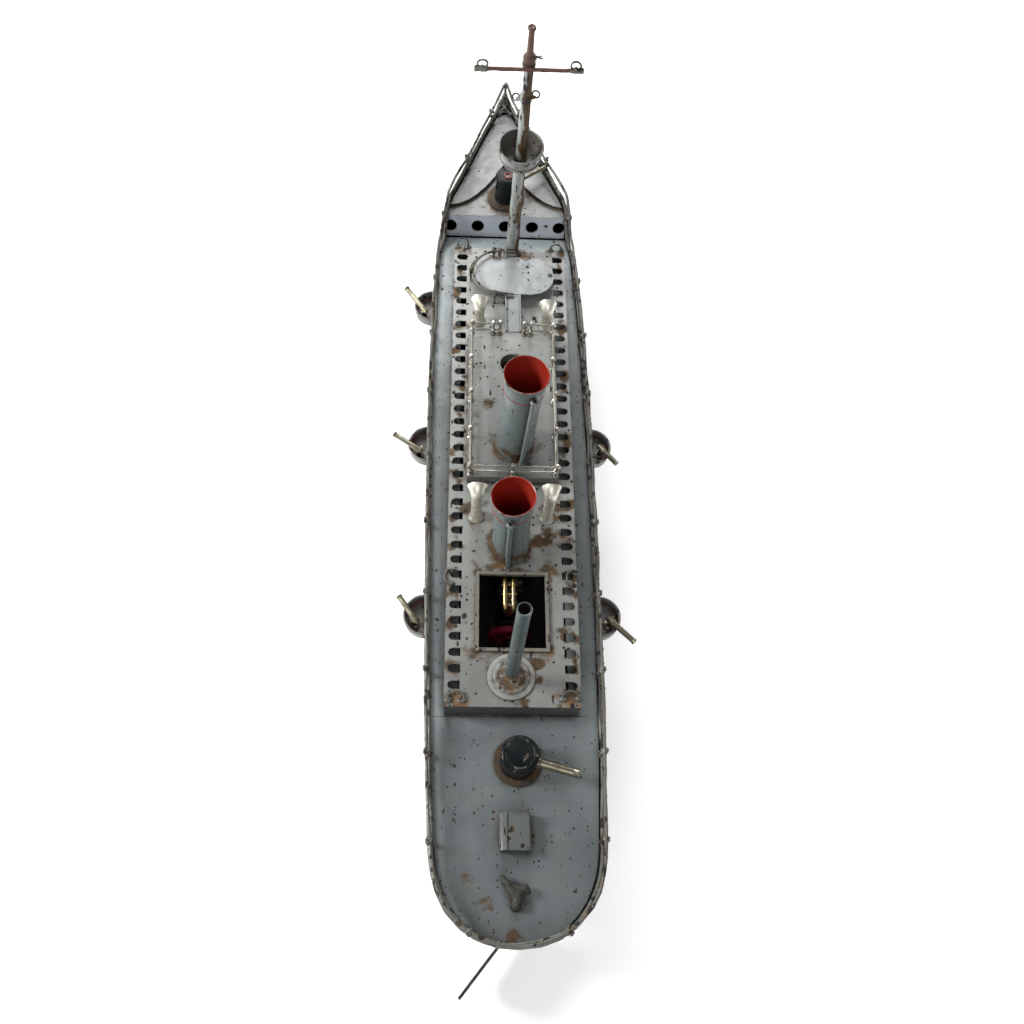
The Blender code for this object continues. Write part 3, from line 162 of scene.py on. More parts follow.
class Shape:
    """Vertices, faces and each face's mark, its finish's number, gathered for one piece."""

    def __init__(self):
        self.places = []
        self.faces = []
        self.marks = []

    def add(self, places, faces, marks=0):
        first = len(self.places)
        self.places += [Vector(p) for p in places]
        self.faces += [tuple(first + i for i in face) for face in faces]
        self.marks += marks if isinstance(marks, list) else [marks] * len(faces)

    def piece(self, name, body, finishes, replaces=None, angle=40):
        """Makes the object, which rides on a CAD body and may stand for a CAD node."""
        mesh = bpy.data.meshes.new(name)
        mesh.from_pydata(self.places, [], self.faces)
        mesh.polygons.foreach_set("material_index", self.marks)
        for finish in finishes.split():
            mesh.materials.append(FINISHES[finish])
        bm = bmesh.new()
        bm.from_mesh(mesh)
        bmesh.ops.remove_doubles(bm, verts=bm.verts, dist=MERGE * MM)
        bmesh.ops.recalc_face_normals(bm, faces=bm.faces)
        bm.to_mesh(mesh)
        bm.free()
        mesh.shade_smooth()
        mesh.set_sharp_from_angle(angle=math.radians(angle))
        obj = link(name, mesh)
        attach(obj, body)
        if replaces:
            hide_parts(replaces)


def link(name, data):
    """A new object in the scene."""
    obj = bpy.data.objects.new(name, data)
    bpy.context.scene.collection.objects.link(obj)
    return obj


def across(direction):
    """Two directions square to this one and to each other."""
    direction = direction.normalized()
    helper = UP if abs(direction.z) < 0.9 else STARBOARD
    first = direction.cross(helper).normalized()
    return first, direction.cross(first).normalized()


def round_way(side, other, angle):
    """The direction at an angle from side towards other."""
    return side * math.cos(angle) + other * math.sin(angle)


def wobble(place, scale, amount):
    """A smooth random shift."""
    return noise.noise(Vector(place) * scale) * amount * MM


def grid_faces(rows, columns, ends_meet=False, around=True):
    """Faces between rows of points, whose first and last row or column may join up."""
    faces = []
    for row in range(rows if ends_meet else rows - 1):
        here, there = row * columns, (row + 1) % rows * columns
        for i in range(columns if around else columns - 1):
            j = (i + 1) % columns
            faces.append((here + i, here + j, there + j, there + i))
    return faces


def fine_rows(profile, marks, step=2.5):
    """Splits a profile's long runs, so that a wobbled surface stays smooth."""
    rows, row_marks = [], []
    for (radius, height), (next_radius, next_height), mark in zip(profile, profile[1:], marks):
        pieces = max(1, round(abs(next_height - height) / step))
        for k in range(pieces):
            share = k / pieces
            rows.append((radius + (next_radius - radius) * share, height + (next_height - height) * share))
            row_marks.append(mark)
    return rows + [profile[-1]], row_marks


def turned(shape, profile, foot, axis, segments=48, rough=0.0, marks=None, ring=False):
    """Turns a profile of (radius, height) about an axis that starts at foot.

    Each run of the profile has its own mark. A ring's profile closes on itself.
    """
    axis = axis.normalized()
    side, other = across(axis)
    marks = marks or [0] * len(profile)
    if not ring:
        profile, marks = fine_rows(profile, marks)
    places = []
    for radius, height in profile:
        for i in range(segments):
            way = round_way(side, other, math.tau * i / segments)
            spot = foot + (axis * height + way * radius) * MM
            if rough and radius > 0:
                spot += way * wobble(spot, 90, rough)
            places.append(spot)
    faces = grid_faces(len(profile), segments, ring)
    shape.add(places, faces, [marks[i // segments] for i in range(len(faces))])


def tube(shape, points, radius, sides=10, mark=0, closed=False, rough=0.0, caps=True):
    """A wire or pipe along points; a list gives a radius for each point."""
    count = len(points)
    radii = radius if isinstance(radius, list) else [radius] * count
    side = None
    places = []
    for i, point in enumerate(points):
        before = points[(i - 1) % count] if closed or i else point
        after = points[(i + 1) % count] if closed or i < count - 1 else point
        along = (after - before).normalized()
        if side is None:
            side = across(along)[0]
        side = (side - along * side.dot(along)).normalized()
        up = along.cross(side)
        for k in range(sides):
            way = round_way(side, up, math.tau * k / sides)
            spot = point + way * radii[i] * MM
            if rough:
                spot += way * wobble(spot, 420, rough)
            places.append(spot)
    faces = grid_faces(count, sides, closed)
    if caps and not closed:
        faces.append(tuple(reversed(range(sides))))
        faces.append(tuple((count - 1) * sides + k for k in range(sides)))
    shape.add(places, faces, mark)


def blob(shape, centre, size, mark=0, stretch=(1, 1, 1), rough=0.5, detail=2):
    """A lump of solder or dirt: a ball pushed about by noise."""
    bm = bmesh.new()
    bmesh.ops.create_icosphere(bm, subdivisions=detail, radius=1.0)
    places = []
    for vertex in bm.verts:
        way = vertex.co.normalized()
        swell = 1 + rough * noise.noise(way * 1.7 + centre * 900)
        places.append(centre + Vector(way[k] * stretch[k] for k in range(3)) * (size * MM * swell))
    faces = [tuple(v.index for v in face.verts) for face in bm.faces]
    bm.free()
    shape.add(places, faces, mark)


def circle_points(centre, radius, side, up, count, start=0.0, end=math.tau):
    """Points on an arc in the plane of side and up. A whole circle leaves out its last point."""
    steps = count if end - start == math.tau else count - 1
    angles = [start + (end - start) * i / steps for i in range(count)]
    return [centre + round_way(side, up, a) * radius * MM for a in angles]


def resample(points, pitch):
    """Even points along a polyline."""
    lengths = [0.0]
    for a, b in zip(points, points[1:]):
        lengths.append(lengths[-1] + (b - a).length)
    count = max(int(lengths[-1] / (pitch * MM)), 2)
    result = []
    k = 0
    for i in range(count + 1):
        target = lengths[-1] * i / count
        while k < len(points) - 2 and lengths[k + 1] < target:
            k += 1
        span = max(lengths[k + 1] - lengths[k], 1e-9)
        result.append(points[k].lerp(points[k + 1], (target - lengths[k]) / span))
    return result


def kinked(points, amount, scale, seed=0.0):
    """The same points, each shifted up to an amount, as hand-bent wire is."""
    shift = Vector((seed, 3.7 * seed, -1.3 * seed))
    return [p + noise.noise_vector(p * scale + shift) * amount * MM for p in points]


def wire(shape, points, pitch, thick, bend, scale, seed=0.0, sides=8, rough=0.0):
    """A hand-bent wire along a polyline."""
    tube(shape, kinked(resample(points, pitch), bend, scale, seed), thick, sides, rough=rough)


def hoop(shape, centre, radius, side, up, count, thick, bend, scale, seed=0.0, sides=7, rough=0.0, mark=0):
    """A closed ring of hand-bent wire."""
    points = kinked(circle_points(centre, radius, side, up, count), bend, scale, seed)
    tube(shape, points, thick, sides, mark, closed=True, rough=rough)


# ---------------------------------------------------------------- materials

RUST_DARK = (0.040, 0.020, 0.011)
RUST_BROWN = (0.082, 0.048, 0.018)
RUST_ORANGE = (0.19, 0.095, 0.022)
# Dirt and painted shade in corners
CORNER_DIRT_AND_SHADE = (0.035, 0.031, 0.024)
CHIP_DARK = (0.012, 0.012, 0.012)
CHIP_HALO = (0.16, 0.10, 0.055)
RUST_BRIGHT = 0.35
RUST_ROUGH = 0.82


class Shader:
    """Short calls for building a material's nodes; the material goes into FINISHES."""

    def __init__(self, name, grain=None):
        material = bpy.data.materials.new(name)
        FINISHES[name] = material
        material.use_nodes = True
        self.tree = material.node_tree
        self.surface = self.tree.nodes["Principled BSDF"]
        self.place = self.add("ShaderNodeTexCoord").outputs["Object"]
        self.grain = grain

    def add(self, kind, inputs=None, **settings):
        node = self.tree.nodes.new(kind)
        for key, value in settings.items():
            setattr(node, key, value)
        for key, value in (inputs or {}).items():
            self.feed(node.inputs[key], value)
        return node

    def feed(self, socket, value):
        if isinstance(value, bpy.types.NodeSocket):
            self.tree.links.new(value, socket)
        else:
            socket.default_value = value

    def axis(self, number):
        """The place's x, y or z."""
        return self.add("ShaderNodeSeparateXYZ", {"Vector": self.place}).outputs[number]

    def normal(self):
        return self.add("ShaderNodeNewGeometry").outputs["Normal"]

    def mapped(self, stretch, shift):
        inputs = {"Vector": self.place, "Location": (shift,) * 3, "Scale": stretch or (1, 1, 1)}
        return self.add("ShaderNodeMapping", inputs).outputs[0]

    def noise(self, scale, detail=4.0, rough=0.6, stretch=None, shift=0.0):
        stretch = stretch or self.grain
        place = self.mapped(stretch, shift) if stretch or shift else self.place
        inputs = {"Vector": place, "Scale": scale, "Detail": detail, "Roughness": rough}
        return self.add("ShaderNodeTexNoise", inputs).outputs["Fac"]

    def ramp(self, value, low, high, to_low=0.0, to_high=1.0, curve="SMOOTHSTEP"):
        inputs = {"Value": value, "From Min": low, "From Max": high, "To Min": to_low, "To Max": to_high}
        return self.add("ShaderNodeMapRange", inputs, interpolation_type=curve).outputs[0]

    def maths(self, operation, a, b):
        return self.add("ShaderNodeMath", {0: a, 1: b}, operation=operation).outputs[0]

    def vector(self, operation, *values):
        """A vector sum or product, or the number from a distance or dot product."""
        node = self.add("ShaderNodeVectorMath", dict(enumerate(values)), operation=operation)
        return node.outputs["Value" if operation in ("DISTANCE", "DOT_PRODUCT") else "Vector"]

    def times(self, a, b):
        return self.maths("MULTIPLY", a, b)

    def most(self, a, b):
        return self.maths("MAXIMUM", a, b)

    def mix(self, share, a, b):
        """Between two colours; sockets 0, 6 and 7 are the factor and the colours."""
        node = self.add("ShaderNodeMix", data_type="RGBA")
        for number, value in ((0, share), (6, a), (7, b)):
            self.feed(node.inputs[number], (*value, 1.0) if isinstance(value, tuple) else value)
        return node.outputs[2]

    def flakes(self, scale, size, share=0.5, shift=0.0, stretch=(1, 1, 1), torn=0.25):
        """Small torn-edged flakes, at most one a cell, each of its own size."""
        place = self.mapped(stretch, shift)
        ragged = self.add("ShaderNodeTexNoise", {"Vector": place, "Scale": scale * 3.5, "Detail": 3.0})
        pushed = self.vector("MULTIPLY_ADD", ragged.outputs["Color"], (torn / scale,) * 3, place)
        cell = self.add("ShaderNodeTexVoronoi", {"Vector": pushed, "Scale": scale})
        draw = self.add("ShaderNodeSeparateColor", {"Color": cell.outputs["Color"]}).outputs[0]
        reach = self.ramp(draw, 1 - share, 1.0, 0.0, size)
        return self.ramp(self.maths("SUBTRACT", reach, cell.outputs["Distance"]), 0.0, 0.04)

    def patches(self, spots, edge=2.5, torn=5.0):
        """Ragged patches round given places: (place, radius)."""
        ragged = self.add("ShaderNodeTexNoise", {"Vector": self.place, "Scale": 130.0, "Detail": 5.0})
        push = self.ramp(ragged.outputs["Fac"], 0.25, 0.75, -torn * MM, torn * MM)
        total = 0.0
        for place, radius in spots:
            near = self.maths("ADD", self.vector("DISTANCE", self.place, tuple(place)), push)
            total = self.most(total, self.ramp(near, (radius - edge) * MM, (radius + edge) * MM, 1.0, 0.0))
        return total

    def painted_light_along(self, tone, low, high, low_gain, high_gain):
        """Painted light: brightens a tone steadily between two places along the ship, or darkens it where the
        gain falls.
        """
        gain = self.ramp(self.axis(1), low * MM, high * MM, low_gain, high_gain, "LINEAR")
        return self.vector("MULTIPLY", tone, gain)

    def crevice(self, reach=5):
        """1 in corners, 0 in the open."""
        node = self.add("ShaderNodeAmbientOcclusion", {"Distance": reach * MM}, samples=6)
        return self.ramp(node.outputs["AO"], 0.45, 0.95, 1.0, 0.0)

    def edges(self, width=0.7):
        """1 along sharp edges."""
        bevel = self.add("ShaderNodeBevel", {"Radius": width * MM}, samples=4)
        return self.ramp(self.vector("DOT_PRODUCT", bevel.outputs[0], self.normal()), 0.75, 0.995, 1.0, 0.0)

    def bump(self, height, distance, strength, normal=None):
        inputs = {"Height": height, "Distance": distance * MM, "Strength": strength}
        if normal is not None:
            inputs["Normal"] = normal
        return self.add("ShaderNodeBump", inputs).outputs[0]

    def pitted(self, lost, depth, strength, normal):
        """A normal that sinks where the surface is lost."""
        return self.bump(self.maths("SUBTRACT", 1.0, lost), depth, strength, normal)

    def set(self, **values):
        for key, value in values.items():
            name = key.replace("_", " ").title().replace("Ior", "IOR")
            self.feed(self.surface.inputs[name], (*value, 1.0) if isinstance(value, tuple) else value)


def shade(colour, gain):
    return tuple(min(c * gain, 1) for c in colour)


def rust_colour(s, bright=RUST_BRIGHT):
    """Dark and brown grains of rust, with brighter orange parts."""
    grain = s.noise(420, 6, 0.7, shift=1.3)
    brown = s.mix(s.ramp(grain, 0.35, 0.62), RUST_DARK, RUST_BROWN)
    tint = s.times(s.ramp(s.noise(75, 5, 0.6, shift=5.1), 0.45, 0.72), bright)
    return s.mix(tint, brown, RUST_ORANGE)


def enamel_tone(s, colour, mottling, stain):
    """Mottled, stained and streaked enamel, before its chips and rust."""
    dark, light = shade(colour, 1 - mottling), shade(colour, 1 + mottling)
    tone = s.mix(s.ramp(s.noise(16, 6, 0.6), 0.32, 0.68), dark, light)
    tone = s.mix(s.ramp(s.noise(60, 6, 0.65, shift=3.0), 0.50, 0.80, 0.0, 0.55), tone, stain)
    streak = s.noise(30, 5, 0.7, stretch=(4.0, 0.7, 1.0), shift=7.0)
    return s.mix(s.ramp(streak, 0.52, 0.78, 0.0, 0.40), tone, shade(colour, 0.62))


def rust_and_shade_down_one_side(s, low_x, high_x, level, lean):
    """Rust and painted shade that cover the starboard side of a mast, and all of it above a level."""
    torn = s.ramp(s.noise(90, 6, 0.7, stretch=(1.0, 1.0, 0.35)), 0.3, 0.7, -2.2 * MM, 2.2 * MM)
    rise = s.ramp(s.axis(2), level - 15 * MM, level + 5 * MM, 0.0, lean * MM)
    sideways = s.maths("ADD", s.axis(0), rise)
    return s.ramp(s.maths("ADD", sideways, torn), low_x, high_x)


def paint(
    name, colour, stain=(0.20, 0.185, 0.14), chips=1.0, rust=1.0, spots=(), orange_spots=(), gloss=0.36,
    edge_wear=1.0, grime_and_shade=1.0, mottling=0.16, under=None, grain=(1.0, 1.0, 1.0), painted_light_ramps=(), painted_light_aft_face=None,
    rust_and_shade_side=None, specular=0.5, fine=1.0,
):
    """Old enamel on tinplate: mottled, stained, chipped to dark metal, rusty in its corners and darkened
    there by dirt and painted shade; where asked, painted light changes its brightness along the ship and
    lightens faces that look aft.
    """
    s = Shader(name, grain)
    tone = enamel_tone(s, colour, mottling, stain)
    # Each ramp paints light along the ship, brighter or darker between two places.
    for stretch_of_deck in painted_light_ramps:
        tone = s.painted_light_along(tone, *stretch_of_deck)
    # Faces that look aft get a lighter colour: painted light.
    if painted_light_aft_face:
        facing = s.add("ShaderNodeSeparateXYZ", {"Vector": s.normal()}).outputs[1]
        tone = s.mix(s.ramp(facing, -0.45, -0.3, 1.0, 0.0), tone, painted_light_aft_face)
    # Darker in corners, found by ambient occlusion and broken up by noise: dirt and painted shade.
    corner = s.crevice()
    broken = s.noise(240, 5, 0.65, shift=2.2)
    dirt = s.times(s.times(corner, s.ramp(broken, 0.30, 0.60, 0.35, 1.0)), 0.85 * grime_and_shade)
    tone = s.mix(dirt, tone, CORNER_DIRT_AND_SHADE)
    rusty = s.times(s.ramp(s.maths("ADD", s.times(corner, 0.36), broken), 0.72, 0.86), rust)
    rusty = s.most(rusty, s.times(s.ramp(s.noise(38, 8, 0.68, shift=9.0), 0.665, 0.70), rust))
    if spots:
        rusty = s.most(rusty, s.patches(spots))
    # Rust and painted shade down one side.
    if rust_and_shade_side:
        rusty = s.most(rusty, rust_and_shade_down_one_side(s, *rust_and_shade_side))
    bright = RUST_BRIGHT
    if orange_spots:
        glow = s.patches(orange_spots, edge=3.5)
        rusty = s.most(rusty, s.times(glow, s.ramp(broken, 0.36, 0.50, 0.25, 0.95)))
        bright = s.ramp(glow, 0.0, 1.0, RUST_BRIGHT, 1.0)
    rust_tone = rust_colour(s, bright)
    if under:
        rust_tone = s.mix(s.ramp(s.noise(110, 4, 0.6, shift=4.4), 0.40, 0.52), rust_tone, under)
    dashes = (grain[0] * 1.9, grain[1] * 0.7, grain[2])
    flakes = s.flakes(120 * fine, 0.17 * chips, 0.42, stretch=grain, torn=0.55)
    flakes = s.most(flakes, s.flakes(260 * fine, 0.22 * chips, 0.50, shift=3.3, stretch=grain, torn=0.5))
    flakes = s.most(flakes, s.flakes(110 * fine, 0.16 * chips, 0.40, shift=8.1, stretch=dashes, torn=0.7))
    worn = s.times(s.edges(), s.ramp(s.noise(170, 5, 0.7, shift=6.0), 0.44, 0.56, 0.0, edge_wear))
    flakes = s.most(flakes, worn)
    halo = s.times(s.flakes(120 * fine, 0.27 * chips, 0.42, stretch=grain, torn=0.55), 0.35)
    tone = s.mix(rusty, s.mix(halo, tone, CHIP_HALO), rust_tone)
    chip_tone = s.mix(s.ramp(s.noise(300, 3, 0.5, shift=1.9), 0.52, 0.70), CHIP_DARK, RUST_BROWN)
    tone = s.mix(flakes, tone, chip_tone)
    lost = s.most(flakes, rusty)
    shine = s.ramp(s.noise(150, 5, 0.7, shift=11.0), 0.3, 0.75, gloss - 0.08, gloss + 0.20)
    rough = s.add("ShaderNodeMix", {0: lost, 2: shine, 3: RUST_ROUGH}, data_type="FLOAT").outputs[0]
    dents = s.bump(s.noise(22, 3, 0.5, shift=0.7), 2.2, 0.55)
    peel = s.bump(s.noise(900, 3, 0.6), 0.05, 0.5, dents)
    normal = s.pitted(lost, 0.12, 0.9, peel)
    s.set(base_color=tone, roughness=rough, specular_ior_level=specular, normal=normal)
    return s


def metal(name, bright, worn, tarnish=0.5, rough=(0.22, 0.48), metalness=1.0, hammer=0.45, painted_shade_below=None):
    """Plated or plain metal with tarnish, fine scratches and dark pits, darker in its crevices as painted
    shade, and darker towards the bottom as painted shade where asked.
    """
    s = Shader(name)
    blotch = s.ramp(s.noise(110, 6, 0.65), 0.40, 0.66)
    # Darker in crevices, found by ambient occlusion: painted shade.
    tone = s.mix(s.times(s.crevice(4), 0.75), s.mix(blotch, bright, worn), shade(worn, 0.16))
    pits = s.most(s.flakes(190, 0.16, 0.5), s.ramp(s.noise(70, 8, 0.7, shift=4.0), 0.62, 0.72, 0.0, tarnish))
    tone = s.mix(pits, tone, (0.030, 0.024, 0.016))
    # Darker towards the bottom: painted shade.
    if painted_shade_below:
        tone = s.mix(s.ramp(s.axis(2), *painted_shade_below, 0.80, 0.0), tone, (0.045, 0.040, 0.026))
    scratch = s.noise(1500, 2, 0.5, stretch=(1.0, 1.0, 0.08))
    polish = s.ramp(s.maths("ADD", s.times(blotch, 0.6), s.times(scratch, 0.4)), 0.1, 0.9, *rough)
    normal = s.pitted(pits, 0.08, 0.7, s.bump(s.noise(160, 3, 0.5, shift=2.0), 0.5, hammer))
    sheen = s.ramp(pits, 0, 1, metalness, 0.25 * metalness)
    s.set(base_color=tone, metallic=sheen, roughness=s.most(polish, s.times(pits, 0.7)), normal=normal)


def hull_paint():
    """The hull's sides: grey enamel, dull red below the waterline, and near black inside as painted shade."""
    s = paint("hull", (0.200, 0.220, 0.220), chips=1.1, rust=0.8, edge_wear=1.2, mottling=0.22)
    above = s.surface.inputs["Base Color"].links[0].from_socket
    line = s.maths("ADD", s.axis(2), s.ramp(s.noise(60, 3), 0.3, 0.7, -0.4 * MM, 0.4 * MM))
    below = s.ramp(line, (WATERLINE - 0.4) * MM, (WATERLINE + 0.4) * MM, 1.0, 0.0)
    tint = s.mix(0.80, above, (0.155, 0.020, 0.014))
    # Near black inside the hull: painted shade.
    outward = s.vector("DOT_PRODUCT", s.vector("SUBTRACT", s.place, (0.0, 0.0, 0.1)), s.normal())
    inside = s.ramp(outward, -6 * MM, -2 * MM, 1.0, 0.0)
    s.set(base_color=s.mix(inside, s.mix(below, above, tint), (0.006, 0.006, 0.006)))


def turret_top_paint():
    """Gloss black worn through to pale metal and dull red."""
    s = Shader("turret_top")
    worn = s.ramp(s.noise(120, 7, 0.68, shift=2.0), 0.575, 0.61)
    worn = s.most(worn, s.times(s.edges(), s.ramp(s.noise(190, 5, 0.7), 0.40, 0.52)))
    pale = s.mix(s.ramp(s.noise(260, 4), 0.42, 0.58), (0.42, 0.42, 0.39), (0.085, 0.055, 0.045))
    black = s.mix(s.ramp(s.noise(45, 5), 0.4, 0.6), (0.006, 0.008, 0.009), (0.013, 0.017, 0.018))
    shine = s.ramp(s.noise(150, 4, shift=3.0), 0.3, 0.7, 0.16, 0.42)
    normal = s.pitted(worn, 0.10, 0.8, s.bump(s.noise(160, 3), 0.5, 0.4))
    s.set(base_color=s.mix(worn, black, pale), roughness=s.most(shine, s.times(worn, 0.6)), normal=normal)
    s.set(specular_ior_level=0.15)


def rusty_iron():
    """Iron under an even coat of brown rust."""
    s = Shader("rusty_iron")
    bare = s.ramp(s.noise(120, 6, 0.7, shift=1.0), 0.42, 0.60)
    tone = s.mix(bare, rust_colour(s, 0.12), (0.030, 0.024, 0.020))
    s.set(base_color=tone, roughness=0.72, normal=s.bump(s.noise(700, 5, 0.7), 0.18, 0.8))


# ---------------------------------------------------------------- finishes

DECK_BLUE = (0.140, 0.160, 0.163)
HOUSE_GREY = (0.225, 0.232, 0.218)
UPRIGHT_GRAIN = (1.3, 1.3, 0.35)


def patches_round(place, *steps):
    """Rust patches given as (x, y, z, radius) from a place."""
    return [(place + mm(*step), radius) for *step, radius in steps]


def paint_decks():
    """The hull's decks, each with rust where its fittings stand."""
    bow_turret, aft_turret = ring_at("bow_turret_ring")[0], ring_at("aft_turret_ring")[0]
    handle = pivot("steering_handle")
    aft_spots = patches_round(handle, (-2, -13, 0, 3.6), (-2, -19, 0, 2.4))
    aft_spots += patches_round(aft_turret, (-30, -62, 0, 1.3)) + patches_round(handle, (-16, -1, 0, 1.3))
    # The deck's ramps are painted light: darker at the stern, a lit band and a shaded band near the
    # superstructure's after end, and much brighter towards the bow.
    paint(
        "deck", DECK_BLUE, chips=1.15, rust=0.6, spots=aft_spots, gloss=0.34, fine=1.5,
        painted_light_ramps=((-320, -220, 0.72, 1.0), (-215, -190, 1.0, 1.45), (-178, -160, 1.0, 0.69), (20, 190, 1.0, 2.8)),
    )
    fore_glow = patches_round(bow_turret, (0, 0, 0, 13.5), (15, 6, 0, 6))
    # The bulkhead that looks aft is painted lighter: painted light.
    paint(
        "gun_deck", (0.175, 0.180, 0.172), orange_spots=fore_glow, rust=0.95, gloss=0.32,
        stain=(0.14, 0.105, 0.060), painted_light_aft_face=(0.50, 0.54, 0.60),
    )
    # The foredeck's ramp is painted light, brighter towards the bow.
    paint("foredeck", (0.225, 0.236, 0.232), rust=0.85, gloss=0.32, painted_light_ramps=((200, 290, 0.85, 1.15),))


def paint_superstructure():
    """The superstructure's decks, rusty round the masts, funnels, hatch and slots."""
    front_funnel, aft_funnel = ring_at("front_funnel")[0], ring_at("aft_funnel")[0]
    aft_mast, foremast = ring_at("aft_mast")[0], ring_at("foremast")[0]
    low, high = seat_box("hatch_coaming")
    bare = patches_round(aft_funnel, (19, 4, 0, 4.5), (24, 9, 0, 4.0), (-6, -17, 0, 3.8), (-13, -15, 0, 3.2))
    bare += patches_round(aft_mast, (17, -3, 0, 3.4), (16, 8, 0, 3.0), (7, -16, 0, 3.4), (-12, 14, 0, 2.2))
    bare += [(seated(-22, -130), 3.0), (seated(33, -128), 4.0)]
    for i, y in enumerate(range(-150, 165, 10)):
        if (i * 7) % 5 < 2:
            bare.append((seated(-36, y), 3.2))
        if (i * 11) % 5 < 2:
            bare.append((seated(37, y), 2.7))
    glow = [(seated(x, y), 7.0) for x in (-33.5, 34) for y in (172, -168)]
    glow += [(seated(x, y), 4.2) for x in (low.x, high.x) for y in (low.y, high.y)]
    glow += [(aft_mast, 11.5), (aft_funnel, 15.0), (foremast, 11.0)]
    glow += [(seated(-25, -44), 8.0), (seated(26, -44), 8.0), (seated(30, -60), 6.0)]
    # The ramp on the superstructure deck is painted light, brighter forward.
    paint(
        "house", HOUSE_GREY, chips=1.5, rust=1.15, spots=bare, orange_spots=glow,
        painted_light_ramps=((-170, 20, 0.88, 1.2),), fine=1.2,
    )
    paint("walls", (0.070, 0.073, 0.070), rust=1.0, grime_and_shade=1.2)
    # The ramp on the boat deck is painted light, brighter forward.
    paint(
        "boat_deck", HOUSE_GREY, chips=1.4, rust=0.95, spots=patches_round(front_funnel, (-17, 32, 0, 3.2)),
        orange_spots=[(front_funnel, 13.5), (seated(-22, 18), 5.0), (seated(24, 60), 5.0)],
        painted_light_ramps=((0, 95, 0.78, 1.7),), fine=1.3,
    )
    bridge_glow = patches_round(foremast, (-10, -6, 5, 6), (10, -4, 5, 7))
    paint("bridge", (0.265, 0.282, 0.287), rust=0.5, orange_spots=bridge_glow, gloss=0.30)
    paint("coaming", (0.17, 0.16, 0.13), chips=2.0, rust=2.0, stain=(0.12, 0.075, 0.03), fine=1.4)


def paint_funnels_and_masts():
    """Upright tubes: grey funnels with red throats, and the two masts."""
    foot_rings = [(ring_at(f"{end}_funnel")[0] + mm(0, 0, 1), 14.0) for end in ("front", "aft")]
    paint(
        "funnel", (0.122, 0.152, 0.153), chips=1.1, rust=0.45, gloss=0.28, spots=foot_rings,
        grain=UPRIGHT_GRAIN, edge_wear=0.0,
    )
    paint("funnel_rim", (0.20, 0.19, 0.17), chips=2.4, rust=1.8, fine=1.6)
    paint("funnel_red", (0.30, 0.022, 0.012), stain=(0.20, 0.02, 0.01), chips=0.4, rust=0.2, edge_wear=0.0)
    paint("red_line", (0.23, 0.024, 0.018), chips=0.8, rust=0.3, edge_wear=0.4)
    # The foremast's starboard side is rust and painted shade.
    mast_x = ring_at("foremast")[0].x
    rust_and_shade_side = (mast_x + 0.6 * MM, mast_x + 1.8 * MM, ring_at("fighting_top", True)[0].z, 3.0)
    paint(
        "mast", (0.27, 0.295, 0.285), chips=2.6, rust=1.5, stain=(0.13, 0.09, 0.05), grain=UPRIGHT_GRAIN,
        rust_and_shade_side=rust_and_shade_side, edge_wear=0.5, fine=1.6,
    )
    paint(
        "tube_mast", (0.048, 0.068, 0.070), chips=1.2, rust=0.5, gloss=0.28, grain=UPRIGHT_GRAIN,
        edge_wear=0.0,
    )
    mast_ring = patches_round(ring_at("aft_mast")[0], (0, 0, 3, 9.5))
    paint("mast_base", (0.27, 0.28, 0.27), chips=1.6, rust=1.5, orange_spots=mast_ring)
    paint("mast_red", (0.085, 0.040, 0.026), stain=(0.05, 0.03, 0.02), chips=1.2, rust=0.9, gloss=0.5)
    paint("tub", (0.19, 0.20, 0.19), chips=1.7, rust=1.5, grime_and_shade=1.1)
    paint("tub_inside", (0.115, 0.110, 0.095), chips=1.2, rust=1.2, grime_and_shade=1.2)


def paint_fittings():
    """Rails, sponsons, turrets and the other small painted things."""
    paint("rail", (0.120, 0.120, 0.104), chips=2.6, rust=2.0, stain=(0.07, 0.055, 0.035))
    paint("sponson", (0.17, 0.175, 0.165), chips=1.8, rust=1.8, under=(0.20, 0.055, 0.050))
    paint("black", (0.006, 0.008, 0.009), stain=CHIP_DARK, chips=0.0, rust=0.2, gloss=0.22, specular=0.15)
    paint("flywheel_red", (0.50, 0.022, 0.070), stain=(0.30, 0.02, 0.03), chips=0.5, rust=0.2)
    paint("hood", (0.125, 0.136, 0.128), chips=1.6, rust=0.6, edge_wear=1.8, grime_and_shade=1.1)
    paint("handle", (0.036, 0.036, 0.030), chips=1.2, rust=0.9, fine=1.5, gloss=0.5, specular=0.2)
    # Near black for the insides of bores, pipe mouths, the aft mast's tube and the cowls' throats: painted
    # shade.
    paint("dark", (0.004, 0.004, 0.004), chips=0.0, rust=0.0, gloss=0.7, specular=0.1)
    turret_top_paint()


